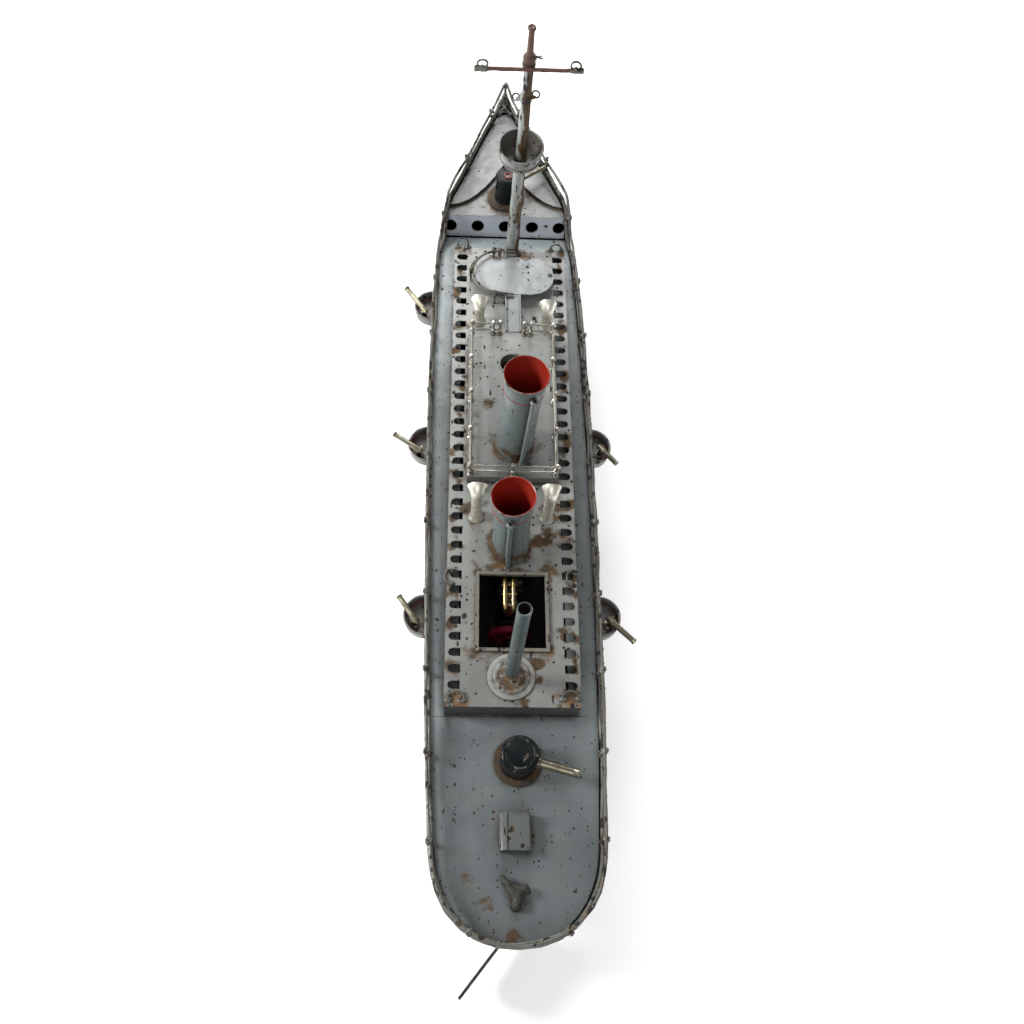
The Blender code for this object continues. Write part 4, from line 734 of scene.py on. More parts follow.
def make_metals():
    """Iron, nickel plate, brass and copper: bright and worn colours, and the range of roughness."""
    rusty_iron()
    metal("iron", (0.10, 0.095, 0.09), (0.055, 0.042, 0.03), rough=(0.45, 0.7))
    metal("nickel", (0.78, 0.74, 0.62), (0.50, 0.43, 0.27), rough=(0.20, 0.42))
    deck_z = seat_box("superstructure_deck")[1].z
    # The cowls' stems are painted darker towards the deck: painted shade.
    metal(
        "cowl", (0.90, 0.88, 0.78), (0.62, 0.58, 0.46), tarnish=0.35, rough=(0.36, 0.50), metalness=0.85,
        hammer=0.04, painted_shade_below=((deck_z + 10) * MM, (deck_z + 30) * MM),
    )
    metal("rail_nickel", (0.52, 0.51, 0.46), (0.27, 0.24, 0.18), rough=(0.28, 0.55))
    metal("brass", (0.32, 0.27, 0.15), (0.17, 0.14, 0.075), rough=(0.30, 0.5))
    metal("gun_brass", (0.27, 0.26, 0.19), (0.13, 0.11, 0.07), rough=(0.30, 0.5))
    metal("copper", (0.36, 0.17, 0.10), (0.12, 0.07, 0.045), rough=(0.35, 0.6))
    metal("engine_brass", (0.60, 0.47, 0.22), (0.30, 0.22, 0.10), rough=(0.24, 0.45))


NODE_FINISHES = {
    "hull": "hull_shell bottom_plate",
    "deck": "main_deck companion_hood",
    "gun_deck": "gun_deck",
    "foredeck": "forecastle_deck",
    "house": "superstructure_deck",
    "coaming": "hatch_coaming",
    "walls": "superstructure_walls",
    "boat_deck": "boat_deck",
    "bridge": "bridge_platform catwalk",
    "funnel": "front_funnel aft_funnel front_steam_pipe aft_steam_pipe",
    "mast": "foremast",
    "tube_mast": "aft_mast",
    "mast_red": "topmast yard",
    "tub": "fighting_top",
    "rail": "guard_rail jackstaff bridge_rail",
    "black": "bow_turret_house aft_turret_house",
    "rusty_iron": "bow_turret_ring aft_turret_ring",
    "iron": "engine_frame rudder steering_link propeller_shaft piston",
    "nickel": "steam_cylinder regulator_valve steering_handle",
    "rail_nickel": "boat_deck_rail",
    "brass": "stern_tube burner steam_pipe_port steam_pipe_starboard propeller",
    "gun_brass": "bow_gun_barrel aft_gun_barrel",
    "copper": "boiler",
    "flywheel_red": "flywheel",
}
FAMILY_FINISHES = {
    "sponson": "sponson",
    "gun_port": "gun_brass",
    "gun_starboard": "gun_brass",
    "ventilator": "nickel",
}
SHEET_NODES = (
    "superstructure_deck hatch_coaming boat_deck bridge_platform catwalk main_deck gun_deck forecastle_deck "
    "superstructure_walls"
)


def soften(node):
    """Rounds a carried-over node's edges, without touching its vertices."""
    obj = NODES[node]
    mesh = obj.data
    if "custom_normal" in mesh.attributes:
        mesh.attributes.remove(mesh.attributes["custom_normal"])
    mesh.shade_smooth()
    weld = obj.modifiers.new("weld", "WELD")
    weld.merge_threshold = MERGE * MM
    flat = obj.modifiers.new("flat", "DECIMATE")
    flat.decimate_type = "DISSOLVE"
    flat.angle_limit = math.radians(0.6)
    bevel = obj.modifiers.new("round", "BEVEL")
    bevel.width = 0.25 * MM
    bevel.segments = 2
    bevel.limit_method = "ANGLE"
    bevel.angle_limit = math.radians(35)
    bevel.harden_normals = False
    even = obj.modifiers.new("even", "WEIGHTED_NORMAL")
    even.keep_sharp = True


def finish_nodes():
    """Materials for every CAD node; the ones that pieces stand for are hidden afterwards."""
    wanted = {node: finish for finish, nodes in NODE_FINISHES.items() for node in nodes.split()}
    for start, finish in FAMILY_FINISHES.items():
        wanted.update({node: finish for node in nodes_named(start)})
    for node, obj in NODES.items():
        obj.data.materials.clear()
        obj.data.materials.append(FINISHES[wanted[node]])
    for node in SHEET_NODES.split():
        soften(node)


# ---------------------------------------------------------------- hull edge, rails and bow


class HullEdge:
    """Finds the hull's top edge by looking at the CAD hull from outside."""

    def __init__(self):
        mesh = NODES["hull_shell"].data
        mesh.calc_loop_triangles()
        faces = [tuple(t.vertices) for t in mesh.loop_triangles]
        self.tree = BVHTree.FromPolygons([v.co for v in mesh.vertices], faces)
        self.low, self.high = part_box("hull_shell")

    def hit(self, spot, way, height):
        """Where a level ray from outside meets the near side of the hull."""
        start = Vector((spot.x, spot.y, height)) + way * WELL_OUTSIDE * MM
        return self.tree.ray_cast(start, -way, (WELL_OUTSIDE - 0.5) * MM)[0]

    def at(self, spot, way):
        """The edge's outer corner, found by halving the height between a hit and a miss."""
        low, high = BELOW_EDGE * MM, self.high.z + 2 * MM
        for _ in range(18):
            middle = (low + high) / 2
            if self.hit(spot, way, middle) is None:
                high = middle
            else:
                low = middle
        found = self.hit(spot, way, low - 0.2 * MM)
        return Vector((found.x, found.y, low))


def edge_line(edge):
    """The hull's top edge from the starboard bow round the stern: (place, outward direction)."""
    spots = []
    y = edge.high.y - 3.0 * MM
    while y > STERN_ROUND_Y * MM:
        spots.append((Vector((0, y, 0)), STARBOARD))
        y -= 6 * MM if y > 150 * MM else 12 * MM
    steps = 16
    for i in range(steps + 1):
        spots.append((mm(0, STERN_ROUND_Y), round_way(STARBOARD, -FORWARD, math.pi * i / steps)))
    line = [(edge.at(spot, way), way) for spot, way in spots]
    half = line[: len(line) - steps // 2]
    return half + [(Vector((-p.x, p.y, p.z)), Vector((-w.x, w.y, 0))) for p, w in reversed(half[:-1])]


def rail_posts(first_y):
    """Where the posts stand: (place on the centreline, outward direction)."""
    posts = []
    y = RAIL_FIRST_POST_Y * MM
    while y < first_y - 12 * MM:
        posts += [(Vector((0, y, 0)), STARBOARD), (Vector((0, y, 0)), -STARBOARD)]
        y += RAIL_POST_PITCH * MM
    turn = math.radians(62)
    return posts + [(mm(0, STERN_ROUND_Y), round_way(STARBOARD * side, -FORWARD, turn)) for side in (-1, 1)]


def build_guard_rail(edge, line):
    """Two hand-bent wires on lumpy soldered posts."""
    shape = Shape()
    staff = ring_at("jackstaff")[0]
    first_y = staff.y - 6 * MM
    for seed, (out, up), lift in ((1.0, RAIL_UPPER, 9.0), (4.0, RAIL_LOWER, 4.0)):
        points = resample([p + way * out * MM + mm(0, 0, up) for p, way in line if p.y < first_y], 3.0)
        for end, order in ((0, 0), (-1, len(points))):
            side = 1 if points[end].x > 0 else -1
            points.insert(order, Vector((side * 0.9 * MM, staff.y, points[end].z + lift * MM)))
        points = kinked(resample(points, 3.0), 1.0, 42.0, seed)
        tube(shape, points, RAIL_WIRE, sides=8, rough=0.22)
        for p in points[4:-4]:
            if noise.noise(p * 160 + Vector((seed, 0, 0))) > 0.24:
                blob(shape, p, 1.25, stretch=(1, 1.5, 0.9), detail=1)
    for spot, way in rail_posts(first_y):
        corner = edge.at(spot, way)
        foot = corner - way * 1.6 * MM - mm(0, 0, 1.2)
        tip = corner + way * 0.8 * MM + mm(0, 0, 11.8)
        for shift in (-0.7, 0.7):
            stem = [foot.lerp(tip, t / 5) + Vector((-way.y, way.x, 0)) * shift * MM for t in range(6)]
            tube(shape, kinked(stem, 0.6, 120.0, shift), 0.75, sides=7, rough=0.2)
        for out, up, size in ((*RAIL_UPPER, 2.0), (*RAIL_LOWER, 1.9), (-1.2, 0.4, 1.9)):
            blob(shape, corner + way * out * MM + mm(0, 0, up), size, stretch=(1.0, 1.2, 0.8), rough=0.6)
    shape.piece("guard_rail_wires", "hull", "rail", "guard_rail")


def build_hull_rim(line):
    """The wired edge of the hull."""
    shape = Shape()
    points = resample([p + mm(0, 0, 0.1) - way * 0.3 * MM for p, way in line], 3)
    tube(shape, points, 1.15, sides=8, rough=0.2)
    shape.piece("hull_edge_wire", "hull", "rail")


def build_jackstaff():
    """The turned staff with its knobs."""
    foot = ring_at("jackstaff")[0]
    tall = (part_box("jackstaff")[1].z - foot.z) / MM
    profile = [
        (0, 0), (2.1, 0), (1.9, 1.0), (1.2, 1.9), (1.0, 7.0), (1.6, 8.2), (2.1, 9.6), (1.8, 11.2),
        (1.0, 12.4),
        (0.9, tall - 4.6), (1.2, tall - 3.9), (0.9, tall - 3.2), (1.7, tall - 1.9), (1.5, tall - 0.6),
        (0, tall),
    ]
    shape = Shape()
    turned(shape, profile, foot, UP, 20, rough=0.3)
    blob(shape, foot + mm(0.4, -1.5, 1.4), 2.4, stretch=(1, 1.3, 0.7), rough=0.6)
    shape.piece("jackstaff_turned", "hull", "rail", "jackstaff")


def build_hawse_arch():
    """Two arched wires behind the jackstaff, and the solder where the rails meet."""
    shape = Shape()
    deck_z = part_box("forecastle_deck")[1].z
    centre = Vector((0, ring_at("jackstaff")[0].y - 9.6 * MM, deck_z + 0.2 * MM))
    for lift, radius in ((0.4, 4.1), (1.5, 3.5)):
        rise = Vector((0, 1, 0.35))
        points = circle_points(centre + mm(0, 0, lift), radius, STARBOARD, rise, 16, -0.2, math.pi + 0.2)
        tube(shape, kinked(points, 0.3, 150.0), 0.8, sides=8, rough=0.15)
    for side in (-1, 1):
        blob(shape, centre + mm(side * 4.6, -0.5, 0.3), 1.8, rough=0.6)
    shape.piece("hawse_arch", "hull", "tub")


# ---------------------------------------------------------------- guns


def build_turret_drum(end):
    """A turned house with a worn rim and roof."""
    body = f"{end}_turret"
    low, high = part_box(f"{end}_turret_house")
    axis = pivot(body)
    foot = Vector((axis.x, axis.y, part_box(f"{end}_turret_ring")[1].z + 0.3 * MM))
    r = (high.x - low.x) / 2 / MM
    tall = (high.z - foot.z) / MM
    sides = [
        (r - 1.4, 0.05), (r + 0.1, 0.0), (r + 0.1, 0.9), (r - 0.1, 1.3), (r, tall * 0.5), (r, tall - 2.6),
        (r + 0.25, tall - 2.1), (r + 0.25, tall - 1.3), (r - 0.2, tall - 0.5),
    ]
    roof = [(r - 1.0, tall - 0.1), (r - 2.2, tall), (r - 2.6, tall - 0.3), (r * 0.5, tall - 0.1), (0, tall)]
    shape = Shape()
    marks = [0] * (len(sides) - 2) + [1] * (len(roof) + 1)
    turned(shape, sides + roof, foot, UP, 56, rough=0.18, marks=marks)
    shape.piece(f"{end}_turret_drum", body, "black turret_top", f"{end}_turret_house")
    return r


def build_turret_gun(end, thick, turret_radius):
    """A hollow barrel with a stepped root and a muzzle ring."""
    axis = pivot(f"{end}_turret")
    tip = barrel_tip(f"{end}_gun_barrel", axis)
    root = Vector((axis.x, axis.y, tip.z - 0.7 * MM))
    reach = (tip - root).length / MM
    start = turret_radius - 0.6
    outer = [
        (thick * 1.32, start), (thick * 1.30, start + 2.2), (thick * 1.08, start + 2.6), (thick, start + 5.0),
        (thick * 0.93, reach - 1.6), (thick * 1.02, reach - 1.2), (thick * 1.02, reach - 0.1),
        (thick * 0.9, reach),
    ]
    # The bore and the disc that closes it are near black: painted shade.
    bore = [(thick * 0.66, reach), (thick * 0.62, reach - 7), (0, reach - 7.2)]
    shape = Shape()
    turned(shape, outer + bore, root, tip - root, 28, rough=0.10, marks=[0] * len(outer) + [1, 1])
    shape.piece(f"{end}_gun_tube", f"{end}_turret", "gun_brass dark", f"{end}_gun_barrel")


def build_turrets():
    """Both turrets, and the painted ring on the bow turret's roof."""
    for end, thick in (("bow", 1.45), ("aft", 2.75)):
        build_turret_gun(end, thick, build_turret_drum(end))
    axis = pivot("bow_turret")
    centre = Vector((axis.x, axis.y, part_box("bow_turret_house")[1].z)) + mm(0.6, -1.0, 0.35)
    shape = Shape()
    hoop(shape, centre, 2.6, STARBOARD, FORWARD, 20, 0.55, 0.2, 300.0)
    shape.piece("bow_turret_ring_mark", "bow_turret", "red_line")


def build_side_gun(name):
    """A hollow barrel in a yoke on its post."""
    axis = pivot(name)
    tip = barrel_tip(name, axis)
    root = Vector((axis.x, axis.y, tip.z - 0.5 * MM))
    way = (tip - root).normalized()
    reach = (tip - root).length / MM
    outer = [
        (0, -3.0), (0.9, -2.9), (1.2, -2.2), (2.0, -1.8), (2.3, 3.0), (1.9, 3.4), (1.8, reach * 0.55),
        (1.65, reach - 1.4), (1.9, reach - 1.1), (1.9, reach - 0.1), (1.75, reach),
    ]
    # The bore and the disc that closes it are near black: painted shade.
    bore = [(1.1, reach), (1.0, reach - 5), (0, reach - 5.2)]
    shape = Shape()
    turned(shape, outer + bore, root, way, 22, rough=0.12, marks=[0] * len(outer) + [1, 1])
    foot = Vector((axis.x, axis.y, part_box(name)[0].z))
    post_top = root.z - 2.6 * MM
    tall = (post_top - foot.z) / MM
    turned(shape, [(3.0, 0), (2.9, 0.9), (1.6, 1.4), (1.5, tall), (0, tall)], foot, UP, 18)
    side = Vector((-way.y, way.x, 0)).normalized()
    for k in (-1, 1):
        low = Vector((axis.x, axis.y, post_top - 0.4 * MM))
        high = Vector((axis.x, axis.y, root.z + 0.4 * MM)) + side * 2.6 * k * MM
        tube(shape, resample([low, low + side * 2.3 * k * MM + mm(0, 0, 0.5), high], 1.0), 0.7, sides=7)
    shape.piece(f"{name}_detail", name, "gun_brass dark", name)


def build_sponson(name):
    """A half-round tub of thin sheet with a wired rim and solder at the hull."""
    low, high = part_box(name)
    side = -1 if low.x < 0 else 1
    outer_x, inner_x = (low.x, high.x) if side < 0 else (high.x, low.x)
    radius = (high.y - low.y) / 2 / MM
    tall = (high.z - low.z) / MM
    centre = Vector((outer_x - side * radius * MM, (low.y + high.y) / 2, low.z))
    overlap = math.asin(min(max(side * (inner_x - centre.x) / MM / radius, -0.9), 0.9))
    reach = math.pi / 2 - max(overlap, 0)
    count = 28
    ways = [round_way(STARBOARD * side, FORWARD, -reach + 2 * reach * i / count) for i in range(count + 1)]
    profile = [
        (0, 0), (radius * 0.55, 0.4), (radius - 1.4, 1.5), (radius - 0.2, 3.0), (radius, tall),
        (radius - 0.7, tall), (radius - 0.9, 3.6), (radius * 0.8, 3.4), (0, 3.3),
    ]
    places = []
    for r, h in profile:
        for way in ways:
            spot = centre + way * r * MM + mm(0, 0, h)
            spot.x += side * max(side * (inner_x - spot.x), 0.0)
            places.append(spot + way * wobble(spot, 110, 0.35 if r > 0 else 0))
    shape = Shape()
    shape.add(places, grid_faces(len(profile), count + 1, around=False))
    rim = [centre + way * (radius - 0.4) * MM + mm(0, 0, tall - 0.3) for way in ways]
    tube(shape, kinked(rim, 0.3, 90.0), 0.85, sides=9, rough=0.15)
    for end in (rim[0], rim[-1]):
        blob(shape, end - mm(0, 0, 2.0), 1.4)
    shape.piece(f"{name}_tub", "hull", "sponson", name)


# ---------------------------------------------------------------- funnels and masts


def build_funnel(end):
    """A funnel with a rolled rim, a collar, a thin red line, solder at the foot and a red throat."""
    node = f"{end}_funnel"
    foot, r0 = ring_at(node)
    top, r1 = ring_at(node, True)
    axis = (top - foot).normalized()
    tall = (top - foot).length / MM
    waist = r0 - 0.6
    neck = tall - FUNNEL_COLLAR
    outer = [
        (r0 + 1.1, 0.0), (r0 + 0.8, 0.6), (r0 + 0.1, 1.5), (r0, 4.0), ((r0 + waist) / 2, tall * 0.4),
        (waist, neck - 1.0), (waist + 0.15, neck - 0.2), (waist + 0.65, neck + 0.2),
        (waist + 0.9, tall - FUNNEL_COLLAR * 0.5), (r1 - 0.35, tall - 1.6), (r1 + 0.05, tall - 1.1),
        (r1 + 0.05, tall - 0.3), (r1 - 0.3, tall + 0.1),
    ]
    inner = [
        (r1 - 0.75, tall - 0.2), (r1 - 0.95, tall - 1.4), (waist - 0.1, tall - FUNNEL_COLLAR * 0.6),
        (waist - 0.6, neck - 2), (waist - 0.8, tall * 0.5), (r0 - 0.9, 6.0), (0, 5.5),
    ]
    shape = Shape()
    marks = [0] * (len(outer) - 4) + [2, 2, 2] + [1] * len(inner)
    turned(shape, outer + inner, foot, axis, 72, rough=0.24, marks=marks)
    side, other = across(axis)
    seam = [foot + (axis * h + side * (waist + (0.7 if h < 5 else 0.2))) * MM for h in range(2, int(neck), 3)]
    tube(shape, kinked(seam, 0.15, 60.0), 0.45, sides=6)
    shape.piece(f"{node}_tube", "superstructure", "funnel funnel_red funnel_rim", node)
    line_at = foot + axis * (neck - 0.4) * MM
    shape = Shape()
    hoop(shape, line_at, waist + 0.42, side, other, 64, 0.60, 0.18, 80.0, sides=6)
    shape.piece(f"{node}_red_line", "superstructure", "red_line")
    build_steam_pipe(f"{end}_steam_pipe", line_at)


def build_steam_pipe(pipe, funnel_middle):
    """A waste-steam pipe with a belled mouth, soldered at its foot and to the funnel."""
    low, thick = ring_at(pipe)
    high = ring_at(pipe, True)[0]
    shape = Shape()
    tube(shape, kinked(resample([low, high], 3), 0.35, 50.0, 2.0), thick, sides=14, rough=0.12, caps=False)
    way = (high - low).normalized()
    # The mouth's inner wall and the disc that closes it are near black: painted shade.
    mouth = [
        (0, -3.0), (thick - 0.7, -2.6), (thick - 0.35, 0.2), (thick + 0.25, -0.2), (thick + 0.85, -0.7),
        (thick + 0.9, -1.4), (thick + 0.1, -2.0),
    ]
    turned(shape, mouth, high, way, 20, marks=[1, 1, 0, 0, 0, 0])
    blob(shape, low + mm(0, -0.2, 0.6), 2.2, stretch=(1, 1, 0.6))
    inward = funnel_middle - high
    inward.z = 0
    blob(shape, high + (inward.normalized() * (thick + 0.2) - way * 1.5) * MM, 1.5)
    shape.piece(f"{pipe}_tube", "superstructure", "funnel dark", pipe)


class Foremast:
    """The raked mast's foot, top and directions, and the fittings along it."""

    def __init__(self):
        self.foot, self.low_radius = ring_at("foremast")
        top, self.radius = ring_at("foremast", True)
        self.tall = (top - self.foot).length / MM
        self.axis = (top - self.foot).normalized()
        self.right = SEAT_RIGHT
        self.ahead = self.axis.cross(self.right)

    def step(self, right=0.0, ahead=0.0, up=0.0):
        """A step in the mast's own directions, in millimetres."""
        return (self.right * right + self.ahead * ahead + self.axis * up) * MM

    def level_with(self, place):
        """The point of the mast's axis that is level with a place."""
        return self.foot + self.axis * (place - self.foot).dot(self.axis)

    def build(self):
        """The rolled tube with its seam."""
        foot, tall, r0, r1 = self.foot, self.tall, self.low_radius, self.radius
        profile = [(r0 + 2.4, 0), (r0 + 1.9, 0.8), (r0 + 0.5, 1.8), (r0, 4.0)]
        steps = 26
        for i in range(1, steps + 1):
            share = i / steps
            radius = r0 + (r1 - r0) * share ** 0.9 * (1.0 if share > 0.55 else 0.92)
            profile.append((radius, 4.0 + (tall - 4.0) * share))
        shape = Shape()
        turned(shape, profile + [(0, tall)], foot, self.axis, 28, rough=0.38)
        seam = [foot + self.step(r0 - (r0 - r1) * h / tall, 0, h) for h in range(3, int(tall), 4)]
        tube(shape, kinked(seam, 0.2, 60.0), 0.5, sides=6)
        shape.piece("foremast_tube", "superstructure", "mast", "foremast")

    def build_fighting_top(self):
        """The round tub with its bead and wired rim."""
        tub_foot, low = ring_at("fighting_top")
        tub_top, high = ring_at("fighting_top", True)
        tall = (tub_top - tub_foot).dot(self.axis) / MM
        centre = self.level_with(tub_foot)
        outer = [
            (3.6, -1.2), (4.8, -0.8), (low - 3.0, -0.5), (low - 0.6, -0.2), (low + 0.1, 0.4),
            (low + 0.9, tall * 0.28),
            (low + 1.2, tall * 0.33), (low + 1.6, tall * 0.6), (high - 0.9, tall - 1.6),
            (high - 0.1, tall - 1.1),
            (high + 0.15, tall - 0.4), (high - 0.2, tall + 0.2),
        ]
        inner = [
            (high - 0.9, tall), (high - 1.4, tall - 1.6), (low + 0.6, tall * 0.4), (low - 0.7, 1.4),
            (low - 3, 0.9),
            (4.2, 1.0), (3.4, 2.6),
        ]
        shape = Shape()
        marks = [0] * len(outer) + [1] * (len(inner) - 1)
        turned(shape, outer + inner, centre, self.axis, 56, rough=0.3, marks=marks)
        bead = centre + self.step(up=tall * 0.30)
        hoop(shape, bead, low + 1.25, self.right, self.ahead, 48, 0.7, 0.25, 80.0, rough=0.15)
        rim = centre + self.step(up=tall + 0.1)
        hoop(shape, rim, high - 0.3, self.right, self.ahead, 48, 0.75, 0.3, 90.0, seed=3.0, rough=0.2)
        shape.piece("fighting_top_tub", "superstructure", "tub tub_inside", "fighting_top")

    def build_topmast(self):
        """The turned topmast with its cap and a few loose whiskers of wire."""
        base = ring_at("topmast")[0]
        tip, r = ring_at("topmast", True)
        tall = (tip - base).length / MM
        profile = [
            (0, -2.0), (2.9, -2.0), (3.5, -1.2), (3.3, 0.3), (3.7, 1.2), (3.4, 2.6), (2.2, 3.2),
            (r + 0.1, 5.0),
            (r, tall * 0.5), (r - 0.1, tall - 2.2), (r + 0.5, tall - 1.7), (r + 0.5, tall - 0.6),
            (r - 0.1, tall),
            (r - 0.6, tall - 0.2), (0, tall - 0.6),
        ]
        shape = Shape()
        turned(shape, profile, base, self.axis, 24, rough=0.4)
        whisker = [base + self.step(x, y, 2.2) for x, y in ((2.8, 0), (4.2, 0.4), (5.6, -0.2), (7.0, 0.7))]
        tube(shape, whisker, 0.4, sides=6)
        other = [p + self.step(ahead=-0.9) for p in whisker[:3]] + [whisker[3] + self.step(0.6, -1.8)]
        tube(shape, other, 0.4, sides=6)
        blob(shape, base + self.step(2.6, 0, 1.5), 1.5)
        shape.piece("topmast_turned", "superstructure", "mast_red", "topmast")

    def build_collar(self):
        """The collar below the yard, with a loop on each side."""
        shape = Shape()
        for side, up, ahead in ((-1, 154.0, 0.6), (1, 155.5, 2.0)):
            anchor = self.foot + self.step(side * (self.radius + 1.4), 0, up)
            lean = (self.ahead * 0.9 + self.axis * 0.4).normalized()
            self.loop(shape, anchor + self.step(side * 1.9, ahead), 2.1, lean, 0.55, seed=side)
            blob(shape, anchor, 1.5, stretch=(1.3, 1, 0.8))
        r = self.radius
        collar = [(r + 0.2, 151.8), (r + 1.3, 152.4), (r + 1.4, 156.2), (r + 0.2, 157.0)]
        turned(shape, collar, self.foot, self.axis, 24, rough=0.3)
        shape.piece("mast_collar_loops", "superstructure", "mast")

    def loop(self, shape, centre, radius, up, thick, seed, mark=0):
        hoop(shape, centre, radius, self.right, up, 22, thick, 0.25, 140.0, seed, rough=0.1, mark=mark)

    def build_yard(self):
        """The yard in its two hoops, with a sleeve and a loop at each end."""
        places = vertices("yard")
        port = Vector(places[places[:, 0] < places[:, 0].min() + 0.8 * MM].mean(0))
        starboard = Vector(places[places[:, 0] > places[:, 0].max() - 0.8 * MM].mean(0))
        shape = Shape()
        wire(shape, [port, starboard], 2, 1.15, 0.25, 45.0, sides=12, rough=0.2)
        middle = self.level_with(port.lerp(starboard, 0.5))
        for out in (-0.6, 0.6):
            centre = middle + self.step(up=out)
            hoop(shape, centre, self.radius + 0.9, self.right, self.ahead, 24, 0.7, 0.2, 150.0, out, mark=1)
        sleeve = [(0, -0.3), (1.2, -0.3), (1.75, 0.2), (1.6, 3.2), (1.85, 3.8), (1.7, 7.0), (1.2, 7.4)]
        for end, inward in ((port, 1), (starboard, -1)):
            turned(shape, sleeve, end, self.right * inward, 18, rough=0.4, marks=[1] * 6)
            self.loop(shape, end + self.step(inward * 4.4, 0, 3.6), 2.9, self.axis, 0.6, inward * 3.0, mark=1)
            blob(shape, end + self.step(inward * 4.4, 0, 1.2), 1.3, mark=1)
        shape.piece("signal_yard", "superstructure", "mast_red rail", "yard")


def build_aft_mast():
    """The open tube on its stack of pressed washers."""
    foot, w = ring_at("aft_mast")
    top, r = ring_at("aft_mast", True)
    tall = (top.z - foot.z) / MM
    base = [
        (w + 0.2, 0), (w, 0.7), (w - 1.6, 1.3), (w - 3.0, 1.2), (w - 3.3, 1.9), (w - 4.4, 2.6),
        (w - 6.2, 2.7),
        (w - 6.6, 3.5), (w - 7.6, 4.3), (r + 1.6, 5.2), (r + 0.9, 6.4), (r + 0.2, 8.0),
    ]
    stem = [
        (r + 0.1, tall * 0.3), (r, tall * 0.7), (r + 0.1, tall - 0.6), (r - 0.2, tall), (r - 0.7, tall - 0.2),
        (r - 0.9, tall - 8), (0, tall - 9),
    ]
    shape = Shape()
    # The tube's inside and the disc that closes it are near black: painted shade.
    marks = [0] * (len(base) - 1) + [1] * 5 + [2] * 2
    turned(shape, base + stem, foot, UP, 56, rough=0.16, marks=marks)
    shape.piece("aft_mast_tube", "superstructure", "mast_base tube_mast dark", "aft_mast")


# ---------------------------------------------------------------- fittings on the superstructure


def build_ventilator(name):
    """A spun cowl: a stem that swells and bends forward into a thin bell, dark inside as painted shade."""
    low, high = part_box(name)
    axis = pivot(name)
    foot = Vector((axis.x, axis.y, low.z))
    wide = (high.x - low.x) / 2 / MM - 0.6
    mouth = (high.z - low.z) / MM - wide - 0.3
    stem = 3.5
    path = [  # forward, up, radius
        (0, 0, stem + 1.3), (0, 0.7, stem + 1.0), (0, 1.6, stem + 0.1), (0, 4.0, stem),
        (0, mouth * 0.45, stem - 0.1),
        (0, mouth - 8.5, stem), (-0.1, mouth - 6.0, stem + 0.1), (-0.1, mouth - 4.0, stem + 0.3),
        (0.3, mouth - 2.2, stem + 0.6), (1.2, mouth - 0.8, stem + 1.1), (2.6, mouth - 0.1, wide - 1.0),
        (3.9, mouth + 0.2, wide - 0.2), (4.7, mouth + 0.3, wide),
    ]
    last = len(path) - 1
    order = list(range(last + 1)) + list(range(last, last - 7, -1))
    right = SEAT_AHEAD.cross(UP)
    sides = 36
    places = []
    for i, k in enumerate(order):
        y, z, radius = path[k]
        inset = 0.55 if i > last else 0.0
        y0, z0, _ = path[max(k - 1, 0)]
        y1, z1, _ = path[min(k + 1, last)]
        along = UP if k < 4 else (SEAT_AHEAD * (y1 - y0) + UP * (z1 - z0)).normalized()
        rise = right.cross(along).normalized()
        spot = foot + (SEAT_AHEAD * (y - (0.1 if i > last else 0.0)) + UP * z) * MM
        for j in range(sides):
            way = round_way(right, rise, math.tau * j / sides)
            place = spot + way * (radius - inset) * MM
            places.append(place + way * wobble(place, 60, 0.10))
    shape = Shape()
    faces = grid_faces(len(order), sides)
    # A near-black disc closes the throat: painted shade.
    floor = tuple((len(order) - 1) * sides + j for j in range(sides))
    shape.add(places, faces + [floor], [0] * len(faces) + [1])
    shape.piece(f"{name}_cowl", name, "cowl dark", name, angle=60)


def build_deck_rail():
    """The boat deck's two wires, on stanchions with ball tops."""
    low, high = seat_box("boat_deck_rail")
    x0, x1, y0, y1 = low.x + 1.0, high.x - 1.0, low.y + 1.0, high.y - 1.0
    base = seat_box("boat_deck")[1].z
    middle = (x0 + x1) / 2
    gate = 8.3
    corner = 1.6
    path = [
        (middle - gate, y1), (x0 + corner, y1), (x0, y1 - corner), (x0, y0 + corner), (x0 + corner, y0),
        (x1 - corner, y0), (x1, y0 + corner), (x1, y1 - corner), (x1 - corner, y1), (middle + gate, y1),
    ]
    shape = Shape()
    for seed, height in ((1.0, 4.2), (6.0, 11.0)):
        points = [seated(x, y, base + height) for x, y in path]
        wire(shape, points, 2.5, DECK_WIRE, 0.55, 38.0, seed, rough=0.08)
    stanchion = [
        (2.0, 0), (1.9, 0.5), (1.0, 1.0), (0.85, 3.0), (1.45, 3.6), (1.5, 4.8), (0.85, 5.4), (0.8, 9.7),
        (1.3, 10.2),
        (1.75, 11.0), (1.7, 12.0), (1.1, 12.9), (0, 13.2),
    ]
    spots = [(middle - gate, y1), (middle + gate, y1), (middle, y0)]
    spots += [(x, y0 + (y1 - y0) * i / 4) for i in range(5) for x in (x0, x1)]
    for x, y in spots:
        foot = seated(x, y, base)
        lean = Vector((noise.noise(foot * 90), noise.noise(foot * 70 + Vector((5, 5, 5))), 7))
        turned(shape, stanchion, foot, lean, 14, rough=0.2)
    for side in (-1, 1):
        turned(shape, stanchion, seated(middle + side * (gate + 4.5), y1, base), UP, 14, rough=0.2)
    shape.piece("boat_deck_wires", "superstructure", "rail_nickel", "boat_deck_rail")


